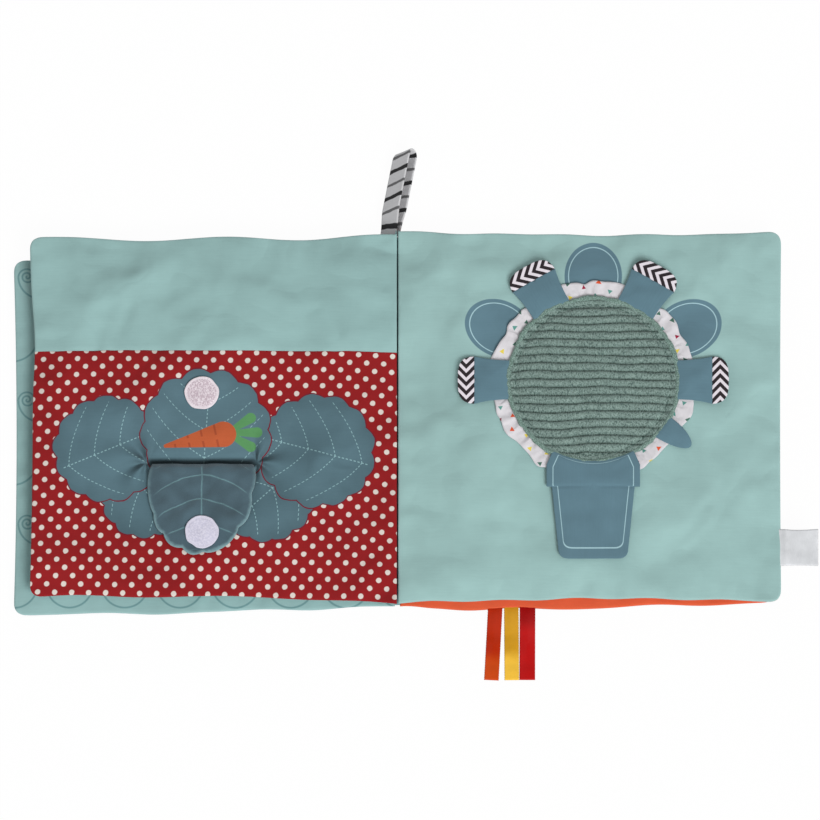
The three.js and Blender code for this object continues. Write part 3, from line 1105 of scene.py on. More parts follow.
@dataclass(frozen=True)
class Pile(Cloth):
    """Short fuzzy pile, as on the fastening coins, and hairy yarn."""

    fleck: Colour = (255, 255, 255)
    lump: float = 1.1
    relief: float = 0.3
    hem: float = 0.6

    def surface(self, wires: Wires, place: Socket) -> tuple[object, Wire]:
        """Mixes tufts of two colours, lighter outside a sewn ring."""
        nap = wires.effect(nap_effect(), Place=place, Contrast=0.35)
        tuft = wires.noise(place, self.lump, 3.0)
        rim = wires.attribute("rim")
        light = tuft.above(0.52, 0.1).most(rim.above(0.84, 0.03) * self.hem)
        colour = wires.mix(light, self.colour, self.fleck)
        return wires.shade(colour, nap["Tone"]), tuft * self.relief + nap["Height"] * 0.1


@dataclass(frozen=True)
class ConfettiCloth(Cloth):
    """White cotton with tiny scattered triangles in five colours."""

    cell: float = 6.4
    size: float = 1.35
    scatter: float = 1.6
    inks: tuple[Colour, ...] = (
        (150, 30, 60), (90, 150, 140), (225, 90, 50), (225, 205, 85), (70, 110, 95))

    def surface(self, wires: Wires, place: Socket) -> tuple[object, Wire]:
        """Adds the small folds that the gathering leaves."""
        colour, height = super().surface(wires, place)
        x, y, _ = wires.parts(place)
        fold = (x * 0.9 + wires.noise(place, 7.0) * 9.0).sine()
        return colour, height + fold * (y * -0.1 + 5.0).most(0.3) * 0.35

    def prints(self, wires: Wires, place: Socket) -> object:
        """Turns and shifts one triangle in each cell by the cell's own random numbers."""
        x, y, _ = wires.parts(place)
        column = (x / self.cell).whole()
        row = (y / self.cell + column.cycle(2.0) * 0.5).whole()
        seed = wires.add("ShaderNodeTexWhiteNoise", wires.place(column, row),
                         noise_dimensions="2D")
        luck = wires.add("ShaderNodeSeparateColor", seed.outputs["Color"])
        red, green, blue = (Wire(wires, socket) for socket in luck.outputs)
        east = x.repeat(self.cell) + red.swing(self.scatter)
        north = (y + column.cycle(2.0) * 0.5 * self.cell).repeat(self.cell)
        north = north + green.swing(self.scatter)
        turn = blue * 6.28
        cos, sin = wires.math("COSINE", turn), turn.sine()
        across, up = east * cos + north * sin, north * cos - east * sin
        far = (across.size() * 0.866 + up * 0.5).most(up * -1.0) - self.size / 2
        ramp = wires.add("ShaderNodeValToRGB")
        ramp.color_ramp.interpolation = "CONSTANT"
        for index, ink in enumerate(self.inks):
            stop = (ramp.color_ramp.elements[index] if index < 2
                    else ramp.color_ramp.elements.new(index / len(self.inks)))
            stop.position = index / len(self.inks)
            stop.color = linear(ink)
        wires.join(wires.math("FRACT", red * 7.3), ramp.inputs[0])
        return wires.mix(far.below(0.0, 0.1), self.colour, ramp.outputs[0])


@dataclass(frozen=True)
class Satin(Cloth):
    """Glossy ribbon with fine cross threads."""

    reads: Reads = Reads.CLOTH
    roughness: float = 0.55
    sheen: float = 0.0
    # Painted light: the colour that the cloth turns to towards its fold.
    tip: Colour | None = None
    painted_light_reach: float = 12.0
    fold_at: float = 36.0

    def gloss(self) -> dict[str, float]:
        """Stretches the shine along the ribbon."""
        return {**super().gloss(), "Specular IOR Level": 0.12, "Anisotropic": 0.5}

    def surface(self, wires: Wires, place: Socket) -> tuple[object, Wire]:
        """Draws the cross threads and paints the cloth lighter towards its fold as painted light,
        leaving it darker near the hem as painted shade.
        """
        x, y, _ = wires.parts(place)
        colour: object = self.colour
        if self.tip is not None:
            painted_light_share = (y - self.fold_at).near(self.painted_light_reach, 4.0)
            colour = wires.mix(painted_light_share, colour, self.tip)
        thread = (y / 0.5 * math.pi).sine().size()
        streak = wires.noise(wires.place(x * 0.4, y * 3.0), 1.0, 2.0)
        tone = streak.swing(0.16) + thread * 0.05 + wires.noise(place, 14.0).swing(0.7) + 0.95
        soft = wires.noise(place, 9.0)
        return wires.shade(colour, tone), thread * 0.03 + soft * self.creases


@dataclass(frozen=True)
class StripedKnit(Cloth):
    """Light grey knit with uneven black cross stripes."""

    reads: Reads = Reads.CLOTH
    dark: Colour = (25, 25, 27)
    pitch: float = 13.6

    def prints(self, wires: Wires, place: Socket) -> object:
        """Puts a thick and a thin stripe in each pitch."""
        _, y, _ = wires.parts(place)
        along = (y + wires.noise(place, 5.0).swing(1.4)).cycle(self.pitch)
        thick = (along - self.pitch / 4).near(1.05, 0.2)
        thin = (along - self.pitch * 3 / 4).near(0.7, 0.2)
        return wires.mix(thick.most(thin * 0.8), self.colour, self.dark)


PAGE_TEAL = PetalPage("page_teal", (153, 188, 185), creases=3.6)
SKY_TEAL = Cloth("sky_teal", (147, 182, 180), creases=3.8)
GARDEN = GardenCloth("garden_dots", (142, 20, 24), sheen=0.04, creases=3.8)
COVER_INNER = CurlCloth("curl_lining", (147, 181, 180))
COVER_OUTER = DashCloth("dash_cover", (96, 142, 190))
ORANGE = Cloth("orange_cotton", (218, 95, 58))
POT_SLATE = EdgedCloth("pot_cotton", SLATE_INK, reads=Reads.CLOTH)
SLATE = Cloth("slate_cotton", (93, 125, 138), reads=Reads.CLOTH, mottle=0.14, creases=0.7)
CHEVRON = ChevronCloth("chevron_cotton", (225, 218, 225), reads=Reads.CLOTH, creases=0.2)
VELOUR = Velour("slate_velour", (70, 92, 102), reads=Reads.CLOTH, creases=2.8)
CORDUROY = Corduroy("ribbed_corduroy", (80, 102, 97))
YARN = Pile("overlock_yarn", (92, 117, 108), fleck=(140, 165, 156), reads=Reads.CLOTH, lump=0.6)
STITCHES = Pile("disc_thread", (58, 82, 76), fleck=(84, 110, 102), lump=0.4, relief=0.1)
RUFFLE = ConfettiCloth("confetti_cotton", (218, 215, 219), reads=Reads.CLOTH, creases=0.8)
LOOP_TAPE = Pile("loop_tape", (196, 178, 188), fleck=(234, 224, 230), lump=0.55, hem=0.9)
HOOK_TAPE = Pile("hook_tape", (200, 198, 216), fleck=(216, 213, 228), lump=0.7, relief=0.15)
LABEL = Satin("label_satin", (216, 218, 221), creases=0.8)
STRIPED = StripedKnit("striped_knit", (200, 200, 202), creases=0.3)
SPINE = Cloth("spine_cotton", (120, 158, 160), reads=Reads.CLOTH, creases=0.3)


# Leaves and spine


def attach(piece: Piece, body: str, slot: str, *nodes: str) -> Piece:
    """Lets a piece ride on a body and hides the CAD nodes that it stands for."""
    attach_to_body(piece, body)
    return stand_for(piece, slot, *nodes)


def stand_for(piece: Piece, slot: str, *nodes: str) -> Piece:
    """Hides the CAD nodes that a piece stands for.

    Args:
        piece: The piece.
        slot: Not used.
        nodes: The CAD nodes.

    Returns:
        The same piece.
    """
    if nodes:
        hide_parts(*nodes)
    return piece


def hang(piece: Piece, slot: str,
         node: str) -> None:
    """Args:
        piece: The cloth.
        slot: Not used.
        node: The CAD node that it stands for.
    """
    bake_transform(piece)
    stand_for(piece, slot, node)


class Side(Enum):
    """Which half of the open book a leaf lies in."""

    LEFT = -1
    RIGHT = 1


class Level(Enum):
    """Which layer of the open book a leaf lies in."""

    COVER = 0
    PAGE = 1


@dataclass(frozen=True)
class Face:
    """One cloth of a leaf: its name, finish, slot and the CAD nodes it stands for."""

    name: str
    finish: Cloth
    slot: str
    nodes: tuple[str, ...]


STUFFING = {
    "quality": 6, "mass": 0.15, "tension_stiffness": 12, "compression_stiffness": 12,
    "shear_stiffness": 5, "bending_stiffness": 0.4, "use_pressure": True,
    "uniform_pressure_force": 4, "shrink_min": -0.025}
STUFFING_FRAMES = 20


@dataclass
class Leaf:
    """A padded leaf, sewn round its rim and stuffed with batting and crinkle film."""

    body: str
    side: Side
    level: Level
    width: float
    top: Spot
    bottom: Spot
    fronts: tuple[Face, ...]
    back: Face
    seam: float | None = None
    slit: tuple[float, float, float] | None = None
    calm: tuple[tuple[float, float, float], ...] = ()
    seed: int = 3
    height: float = 180.0
    thickness: float = 8.7
    gap: float = 0.3
    cloth: float = 0.5
    softness: float = 23.0
    tuck: float = 1.4
    bows: Spot = (1.4, 1.4)
    heel: float = 0.0
    corner: float = 6.0
    gutter: float = 1.05
    wall: float = 0.4
    swell: float = 0.9
    rim_round: float = 0.9
    hem_wave: float = 0.45
    sag: float = 0.4
    pucker: float = 0.38
    seam_pull: float = 1.3
    seam_depth: float = 0.5
    slit_depth: float = 3.4

    def middle(self) -> float:
        """Height of the leaf's seam."""
        return self.level.value * (self.thickness + self.gap) + self.thickness / 2

    def lines(self, size: float, extra: tuple[float, ...] = ()) -> Array:
        """Spaces the net's lines across one side of the leaf, closer at its rims.

        Args:
            size: The side's length.
            extra: Places of further lines.

        Returns:
            The distance of each line from the side's start.
        """
        near = np.array([0, 0.35, 0.9, 1.8, 3.2])
        count = round((size - 10) / 2.6)
        middle = np.linspace(5.2, size - 5.2, count)
        return np.sort(np.concatenate([near, middle, size - near, extra]))

    def plan(self, out: Array, up: Array) -> tuple[Array, Array, Array]:
        """Lays a place of the leaf, from its spine and its hem, in the book's plan.

        Args:
            out: Distances from the spine edge.
            up: Distances from the bottom edge.

        Returns:
            The x and y of each place and how far it is puffed up, from 0 to 1.
        """
        share, rise = out / self.width, 2 * up / self.height - 1
        across = 2 * share - 1
        east = np.clip(out - self.width + self.corner, 0, None) / self.corner
        north = np.clip(np.abs(rise) * self.height / 2 - self.height / 2 + self.corner, 0, None)
        north = north / self.corner
        cut_x = self.corner * east * (1 - np.sqrt(1 - north ** 2 / 2))
        cut_y = self.corner * north * (1 - np.sqrt(1 - east ** 2 / 2)) * np.sign(rise)
        bow = 1 - across ** 2
        top = mix(self.top[0], self.top[1], share) - self.bows[0] * bow
        bottom = mix(self.bottom[0], self.bottom[1], share) + self.bows[1] * bow
        bottom = bottom + self.heel * (1 - ease(out / 16))
        x = self.gutter + out - self.tuck * share * (1 - rise ** 2) - cut_x
        if self.seam is not None:
            x = x - self.seam_pull * share ** 4 * bell(up - self.seam - 4, 20)
        y = mix(bottom, top, up / self.height) - cut_y
        if self.level is Level.PAGE:
            x = x - 0.9 * (1 - ease(out / 7))
        edge = np.abs(rise) ** 6
        hem = waves(out, up * 0.1, self.seed, 30, 80) * self.hem_wave
        y = y + hem * edge * (1 - share ** 8)
        puff = self.ramp(out, self.width) * self.ramp(up, self.height)
        return self.side.value * x, y, puff

    def ramp(self, distance: Array, size: float) -> Array:
        """Rises from 0 at both rims to 1 over the soft edge."""
        inset = np.minimum(distance, size - distance)
        return np.sin(np.clip(inset / self.softness, 0, 1) * math.pi / 2)

    def stillness(self, x: Array, y: Array) -> Array:
        """Is 1 under the pieces sewn on the leaf and falls to 0 around them."""
        still = np.zeros_like(x)
        for east, north, reach in self.calm:
            still = np.maximum(still, 1 - ease((np.hypot(x - east, y - north) - reach) / 14))
        return still

    def dip(self, x: Array, y: Array) -> Array:
        """Gives the depth of the slit that a flap comes out of, and of the slope above it."""
        east, north, half = self.slit
        above = y - north
        slope = np.where(above > 0, np.exp(-np.abs(above) / 1.7), np.exp(-((above / 2.6) ** 6)))
        return self.slit_depth * slope * ease((half + 2.5 - np.abs(x - east)) / 5)

    def place(self, out: Array, up: Array, facing: int) -> Array:
        """Gives the surface of one side of the leaf.

        Args:
            out: Distances from the spine edge.
            up: Distances from the bottom edge.
            facing: 1 for the front and -1 for the back.

        Returns:
            One row of x, y and z for each place.
        """
        x, y, puff = self.plan(out, up)
        inset_out = np.minimum(out, self.width - out)
        inset_up = np.minimum(up, self.height - up)
        inset = np.minimum(inset_out, inset_up)
        rim = quarter_round(1 - np.clip(inset / self.rim_round, 0, 1))
        bulge = (self.thickness - self.gap) / 2 - self.cloth
        flat = self.gap / 2 + self.cloth
        free = 1 - self.stillness(x, y)
        sag = waves(x, y, self.seed + facing, 50, 120) * self.sag * puff * (0.2 + 0.8 * free)
        run = np.where(inset_up < inset_out, out, up)
        pucker = waves(run, inset * 0.2, self.seed + 7, 7, 17)
        pucker *= self.pucker * bell(inset - 5.5, 5.0) * free
        ceiling = 0.3 if facing > 0 or self.level is Level.PAGE else 0.0
        swell = flat * rim + puff * bulge + np.minimum(sag, ceiling) + pucker * (rim > 0.5)
        if self.seam is not None and facing > 0:
            crimp = 1 + 0.35 * waves(out, up * 0, self.seed + 5, 5, 12)
            groove = self.seam_depth * bell(up - self.seam, 1.1)
            swell = swell - groove * crimp * np.clip(puff, 0, 1)
        if self.slit is not None and facing > 0:
            swell = swell - self.dip(x, y)
        return stack(x, y, self.middle() + facing * swell)

    def half(self, facing: int) -> Piece:
        """Builds the net of one side of the leaf.

        Args:
            facing: 1 for the front and -1 for the back.

        Returns:
            The net, with its flat map and one material for each cloth.
        """
        extra = () if self.seam is None else (self.seam - 0.9, self.seam, self.seam + 0.9)
        if self.slit is not None:
            tries = np.linspace(0, self.height, 721)
            north = self.plan(tries * 0 - self.slit[0], tries)[1]
            middle = tries[np.argmin(np.abs(north - self.slit[1]))]
            extra += tuple(middle + np.array([-3.3, -2.6, -2.0, -1, -0.3, 0.3, 1, 1.9, 3.1, 4.6]))
        outs, ups = self.lines(self.width), self.lines(self.height, extra)
        piece, u, v = grid(f"{self.body}_half", len(outs) - 1, len(ups) - 1)
        out = np.interp(u * (len(outs) - 1), range(len(outs)), outs)
        up = np.interp(v * (len(ups) - 1), range(len(ups)), ups)
        lay(piece, self.place(out, up, facing))
        map_cloth(piece, np.column_stack([out, up]))
        faces = self.fronts if facing > 0 else (self.back,)
        for face in faces:
            piece.data.materials.append(face.finish.material())
        if len(faces) > 1:
            for polygon in piece.data.polygons:
                heights = [up[k] for k in polygon.vertices]
                polygon.material_index = int(sum(heights) / len(heights) > self.seam)
        return piece

    def stuff(self, piece: Piece) -> None:
        """Fills the leaf by a short cloth simulation with its seams held, then caps the change."""
        rest = corners(piece)
        off_seam = np.abs(rest[:, 2] - self.middle())
        held = piece.vertex_groups.new(name="Seam")
        held.add([int(k) for k in np.flatnonzero(off_seam < 0.9)], 1.0, "REPLACE")
        cloth = piece.modifiers.new("Stuffing", "CLOTH")
        set_all(cloth.settings, {**STUFFING, "vertex_group_mass": held.name})
        cloth.settings.effector_weights.gravity = 0
        cloth.point_cache.frame_start, cloth.point_cache.frame_end = 1, STUFFING_FRAMES
        for number in range(1, STUFFING_FRAMES + 1):
            bpy.context.scene.frame_set(number)
        graph = bpy.context.evaluated_depsgraph_get()
        filled = corners(piece.evaluated_get(graph))
        piece.modifiers.remove(cloth)
        piece.vertex_groups.remove(held)
        bpy.context.scene.frame_set(1)
        self.cap(piece, rest, filled)

    def cap(self, piece: Piece, rest: Array, filled: Array) -> None:
        """Keeps the creases of the filled leaf and drops most of its even swelling.

        Args:
            piece: The leaf.
            rest: Its vertices before the simulation.
            filled: Its vertices after it.
        """
        moved = filled - rest
        above = rest[:, 2] - self.middle()
        outward, off_seam = np.sign(above), np.abs(above)
        lift = moved[:, 2] * outward
        even = np.median(lift[off_seam > 2.5])
        lift = (lift - even * np.clip(off_seam / 4, 0, 1)) * self.swell
        free = 1 - self.stillness(rest[:, 0], rest[:, 1])
        depth = np.clip(off_seam - 0.7, 0, 3.0)
        ceiling = np.where(outward > 0, 0.12 + 0.18 * free, 0.25 * self.level.value)
        lift = np.clip(lift, -np.minimum(0.2 + 0.8 * free, 0.35 * depth), ceiling)
        moved[:, 2] = lift * outward
        moved[:, :2] = np.clip(moved[:, :2], -0.5, 0.5) * 0.6
        lay(piece, rest + moved)

    def build(self) -> list[Piece]:
        """Builds, stuffs, parts and attaches the leaf's cloths."""
        leaf = join(self.body, [self.half(1), self.half(-1)])
        close_up(leaf)
        self.stuff(leaf)
        finish_with(leaf, "SUBSURF", levels=1, render_levels=1)
        faces = (*self.fronts, self.back)
        cloths = part_cloths(leaf, [face.name for face in faces], self.wall)
        for cloth, face in zip(cloths, faces):
            attach(cloth, self.body, face.slot, *face.nodes)
        return cloths


@dataclass
class Spine:
    """The outer strip of the spine and the inner strips that join each page to its cover."""

    low: float = -88.6
    high: float = 90.9
    half_width: float = 8.0
    panel: float = 0.5
    wall: float = 0.4

    def build(self) -> list[Piece]:
        """Builds the three strips and hides the spine's CAD nodes."""
        outer = self.outer_strip()
        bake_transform(outer)
        stand_for(outer, "spine_cloth", "spine_panel")
        right = self.gutter_strip("gutter_strip_right", 1, "back_cover", "leaf_2")
        stand_for(right, "spine_cloth", "spine_binding")
        left = self.gutter_strip("gutter_strip_left", -1, "front_cover", "leaf_1")
        stand_for(left, "spine_cloth")
        length = (self.high - self.low) * MM
        return [outer, right, left]

    def strip(self, name: str, columns: int) -> tuple[Piece, Array, Array]:
        """Adds one strip for the length of the spine, with its flat map, yet to be laid."""
        piece, u, v = grid(name, columns, 90)
        map_cloth(piece, np.column_stack([u * 2 * self.half_width, v * (self.high - self.low)]))
        return piece, u, v

    def outer_strip(self) -> Piece:
        """Builds the strip under the gutter, which lies nearly flat."""
        piece, u, v = self.strip("spine_outer_strip", 32)
        x = mix(-self.half_width, self.half_width, u)
        y = mix(self.low + 0.3, self.high - 0.3, v)
        puckers = waves(y, x * 0.3, 31, 9, 20) * 0.05
        lay(piece, stack(x, y, 0.32 + puckers * (1 - (2 * u - 1) ** 4)))
        thicken(piece, self.panel)
        SPINE.dress(piece)
        return piece

    def gutter_strip(self, name: str, side: int, cover: str, page: str) -> Piece:
        """Builds a strip from a cover's spine seam up to its page's, bowed into the gutter.

        Args:
            name: The strip's name.
            side: 1 on the right of the spine and -1 on its left.
            cover: The cover's body.
            page: The page's body.

        Returns:
            The strip.
        """
        piece, u, v = self.strip(name, 16)
        z = mix(COVER_SEAM - 0.9, PAGE_SEAM + 0.2, u)
        y = mix(self.low + 1.2, self.high - 0.6, v)
        bow = 0.25 * np.sin(u * math.pi) * (1 + 0.3 * waves(y, z, 37 + side, 12, 30))
        lay(piece, stack(side * (0.75 - bow), y, z))
        thicken(piece, self.wall)
        SPINE.dress(piece)
        ends = [(body, (side * 0.0007, 0, seam * MM))
                for body, seam in ((cover, COVER_SEAM), (page, PAGE_SEAM))]
        if side > 0:  # the ends are listed page first on the right
            ends.reverse()
        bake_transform(piece)
        return piece


# Sewn-on pieces


def stitch_run(name: str, places: Array, length: float, thick: float, finish: Cloth) -> Piece:
    """Sews short rounded stitches.

    Args:
        name: The name of the joined stitches.
        places: One row for each stitch: x, y, z and its direction in radians.
        length: How long a stitch is.
        thick: How thick its thread is.
        finish: The thread's finish.

    Returns:
        All the stitches as one piece.
    """
    clear_selection()
    bpy.ops.mesh.primitive_uv_sphere_add(segments=8, ring_count=6, radius=1.0)
    first = named(bpy.context.object, name)
    ball = corners(first) * MM
    along, aside = ball[:, 0] * length / 2, ball[:, 1] * thick / 2
    height = ball[:, 2] * thick / 2 - 0.25 * thick * ball[:, 0] ** 2
    stitches = [first] + [copy_of(first, f"{name}_{k}") for k in range(1, len(places))]
    for stitch, (x, y, z, turn) in zip(stitches, places):
        east, north = spin(along, aside, turn)
        lay(stitch, stack(x + east, y + north, z + height))
    made = join(name, stitches)
    smooth_shade(made)
    finish.dress(made)
    return made


@dataclass
class GardenFlap:
    """The left page's lift flap with its hook coin, and the loop coin above it."""

    centre: float = FLAP_HINGE[0]
    hinge: float = FLAP_HINGE[1]
    width: float = 60.0
    length: float = 45.0
    hinge_width: float = 50.0
    low: float = 18.0
    high: float = 19.5
    scallops: int = 7
    scallop: float = 1.7
    coin: float = 8.0
    reach: float = 34.0
    fold: float = 0.8
    ripple: float = 0.5

    def outline(self) -> Array:
        """The scalloped outline, hanging down from the hinge line."""
        share = np.linspace(0, 1, 181)
        angle = -math.pi * share
        uneven = share + 0.035 * np.sin(3 * math.pi * share) + 0.012 * np.sin(8 * math.pi * share)
        bump = self.scallop * (np.abs(np.sin(math.pi * self.scallops * uneven)) ** 0.8 - 1)
        bump = bump * (1 - 0.3 * np.cos(5 * angle))
        narrow = mix(self.hinge_width / self.width, 1, np.sin(math.pi * share))
        x = self.centre + (self.width / 2 + bump) * np.cos(angle) * narrow
        x = x - 2.0 * np.sin(math.pi * share) ** 2
        y = self.hinge - 0.3 + (self.length - 0.3 + bump) * np.sin(angle)
        return np.column_stack([x, y])[::-1]

    def rise(self, flat: Array) -> Array:
        """Lifts the sewn end into a low fold and the free rim a little."""
        down = self.hinge - flat[:, 1]
        fold = self.fold * bell(down - 5.0, 3.4)
        coin = np.hypot(flat[:, 0] - self.centre, down - self.reach)
        ripple = waves(*flat.T, 12, 12, 26) * self.ripple * ease((coin - 9) / 7)
        return np.clip(fold + ripple, -0.15, 1.0) - 1.6 * ease((2.7 - down) / 2.7)

    def build(self) -> list[Piece]:
        """Builds the flap's two cloths and both coins."""
        cushion = Pillow("garden_flap", self.outline(), self.low, self.high,
                         (self.centre, self.hinge - 17), crown=0.25, edge=0.42,
                         around=240, rings=36, wrinkle=0.16, seed=8)
        flap = cushion.build(rise=self.rise)
        cushion.face_sides(flap, VELOUR.material(), SLATE.material())
        face, lining = part_cloths(flap, ["garden_flap_velour", "garden_flap_back"], 0.4)
        for piece, slot, node in ((face, "slate_velour", "garden_flap_face"),
                                  (lining, "slate_cloth", "garden_flap_lining")):
            hang(piece, slot, node)
        loop = self.make_coin("loop_coin_pile", self.hinge + self.reach, 18.0, LOOP_TAPE, 5)
        attach(loop, "leaf_1", "loop_tape", "loop_coin")
        hook = self.make_coin("hook_coin_pile", self.hinge - self.reach, 19.75, HOOK_TAPE, 6)
        attach(hook, "garden_flap", "hook_tape", "hook_coin")
        return [face, lining, loop, hook]

    def make_coin(self, name: str, y: float, low: float, finish: Pile, seed: int) -> Piece:
        """Builds one round of fastening tape, sewn down near its rim.

        Args:
            name: The coin's name.
            y: How far up the page its middle is.
            low: The height of its under side.
            finish: Its pile.
            seed: Chooses its small unevenness.

        Returns:
            The coin.
        """
        angle = np.linspace(0, 2 * math.pi, 96, endpoint=False)
        rim = np.column_stack([self.centre + self.coin * np.cos(angle),
                               y + self.coin * np.sin(angle)])
        rim = rim + waves(*rim.T, seed, 4, 9)[:, None] * 0.1
        cushion = Pillow(name, rim, low, low + 0.9, (self.centre, y), crown=0.1,
                         edge=0.3, around=96, rings=28, wrinkle=0.06, seed=seed)

        def seam(flat: Array) -> Array:
            """Presses the sewn ring down."""
            reach = np.hypot(flat[:, 0] - self.centre, flat[:, 1] - y)
            return -0.14 * bell(reach - self.coin + 1.2, 0.45)

        piece = cushion.build(rise=seam)
        finish.dress(piece)
        return piece


@dataclass
class Disc:
    """The right page's padded corduroy disc, with its sewn ring, overlocked rim and ruffle."""

    centre: Spot = DISC_CENTRE
    radius: float = 40.0
    pitch: float = 3.9
    relief: float = 0.8
    seam: float = 36.6
    stitches: int = 76
    floor: float = 18.75
    shoulder: float = 19.55
    dome: float = 1.65
    rim_height: float = 19.42
    yarn: float = 0.72
    wraps: int = 92
    ruffle_in: float = 34.5
    ruffle_out: float = 47.6
    ruffle_base: float = 18.22
    ruffle_fold: float = 0.8

    def crown(self, reach: Array | float) -> Array | float:
        """Height of the cloth's base at a distance from the middle."""
        dome = self.shoulder + self.dome * np.clip(1 - (reach / 36.0) ** 2, 0, 1) ** 0.75
        sewn = 0.5 * bell(reach - self.seam, 1.2)
        edge = quarter_round(np.clip(reach - self.radius + 1.6, 0, 1.6) / 1.6)
        return self.floor + 0.3 + (dome - sewn - self.floor - 0.3) * edge

    def ribs(self, x: Array, y: Array) -> Array:
        """Round ribs across the disc, 0 in a groove and 1 on a crest."""
        drift = waves(x, y, 21, 22, 55) * 0.32 + waves(x, y, 22, 9, 16) * 0.1
        return np.abs(np.sin(math.pi * (y + drift) / self.pitch)) ** 0.6

    def cloth_side(self, facing: int) -> Piece:
        """Builds one side of the cloth, its rows along the ribs.

        Args:
            facing: 1 for the ribbed upper side and -1 for the flat under side.

        Returns:
            The side, with its ribs marked.
        """
        side, u, v = grid(f"corduroy_{facing}", 100, 220)
        y = (2 * v - 1) * self.radius
        x = (2 * u - 1) * np.sqrt(np.clip(self.radius ** 2 - y ** 2, 0, None))
        reach = np.hypot(x, y)
        if facing > 0:
            fade = 1 - 0.5 * ease((reach - 34.5) / 1.5)
            fade = fade * np.clip(self.radius - reach, 0, 1)
            z = self.crown(reach) + self.relief * (self.ribs(x, y) - 0.35) * fade
        else:
            z = mix(self.floor, self.crown(reach), reach >= self.radius - 0.001)
        lay(side, stack(x + self.centre[0], y + self.centre[1], z))
        place = corners(side)
        mark(side, "rib", self.ribs(place[:, 0] - self.centre[0], place[:, 1] - self.centre[1]))
        return side

    def build_cloth(self) -> Piece:
        """Builds the ribbed cloth over its padding."""
        cloth = join("corduroy_panel", [self.cloth_side(facing) for facing in (1, -1)])
        close_up(cloth)
        smooth_shade(cloth)
        CORDUROY.dress(cloth)
        return cloth

    def build_rim(self) -> Piece:
        """Builds the overlocked rim: yarn wrapped aslant round the cloth's edge."""
        clear_selection()
        bpy.ops.mesh.primitive_torus_add(major_segments=1100, minor_segments=10,
                                         major_radius=10.0, minor_radius=1.0)
        rim = named(bpy.context.object, "overlock_rim")
        ring = corners(rim) * MM
        around = np.arctan2(ring[:, 1], ring[:, 0])
        out = np.hypot(ring[:, 0], ring[:, 1]) - 10
        tube = np.arctan2(ring[:, 2], out)
        run = around * self.radius
        wrap = np.abs(np.sin(around * self.wraps + tube * 0.35)) ** 0.7
        thick = self.yarn + 0.22 * wrap + waves(run, tube, 41, 4, 11) * 0.13
        rib = self.ribs(self.radius * np.cos(around), self.radius * np.sin(around))
        reach = self.radius - 0.45 + 0.45 * rib + waves(run, tube * 0, 42, 14, 40) * 0.2
        reach = reach + np.cos(tube) * thick * 1.3
        z = self.rim_height + np.sin(tube) * thick * 0.8
        lay(rim, stack(self.centre[0] + reach * np.cos(around),
                       self.centre[1] + reach * np.sin(around), z))
        map_cloth(rim, np.column_stack([run, tube * 1.2]))
        smooth_shade(rim)
        YARN.dress(rim)
        return rim

    def build_stitches(self) -> Piece:
        """Sews the ring of stitches that holds the padding."""
        angle = 2 * math.pi * (np.arange(self.stitches) + 0.5) / self.stitches
        x, y = self.seam * np.cos(angle), self.seam * np.sin(angle)
        z = self.crown(self.seam) + self.relief * 0.5 * (self.ribs(x, y) - 0.35) + 0.12
        rows = np.column_stack([x + self.centre[0], y + self.centre[1], z, angle + math.pi / 2])
        return stitch_run("disc_stitches", rows, 2.1, 0.42, STITCHES)

    def build_ruffle(self) -> Piece:
        """Builds the gathered ruffle, whose folds widen towards its free edge."""
        ruffle, u, v = grid("ruffle_strip", 540, 14)
        angle = 2 * math.pi * u
        loose = angle + 0.05 * np.sin(3 * angle) + 0.03 * np.sin(7 * angle + 1)
        fold = 0.5 + 0.32 * np.sin(23 * loose) + 0.18 * np.sin(37 * loose + 2)
        gather = 0.2 * np.sin(52 * loose + 2 * np.sin(5 * loose))
        lobe = np.sin(11 * loose) + 0.6 * np.sin(17 * loose + 1.3) + 0.4 * np.sin(29 * loose + 2)
        out = self.ruffle_out + 0.3 + 0.75 * lobe + 0.5 * np.sin(4 * angle + 2)
        reach = mix(self.ruffle_in, out, v)
        free = ease((reach - 39) / 9)
        swing = angle + 0.01 * free * np.sin(17 * loose + 1.2)
        z = self.ruffle_base + free * self.ruffle_fold * fold
        z = z + gather * ease((reach - 38) / 2) * (1 - free * 0.6)
        lay(ruffle, stack(self.centre[0] + reach * np.cos(swing),
                          self.centre[1] + reach * np.sin(swing),
                          np.maximum(z, self.ruffle_base - 0.02)))
        map_cloth(ruffle, np.column_stack([angle * 44, reach]))
        close_up(ruffle)
        thicken(ruffle, 0.32)
        RUFFLE.dress(ruffle)
        return ruffle

    def build(self) -> list[Piece]:
        """Builds and attaches the disc's four pieces."""
        cloth, rim, stitches, ruffle = (
            self.build_cloth(), self.build_rim(), self.build_stitches(), self.build_ruffle())
        attach(cloth, "leaf_2", "corduroy", "corduroy_disc", "disc_padding")
        attach(rim, "leaf_2", "corduroy")
        attach(stitches, "leaf_2", "corduroy")
        attach(ruffle, "leaf_2", "ruffle_cloth", "ruffle")
        return [cloth, rim, stitches, ruffle]


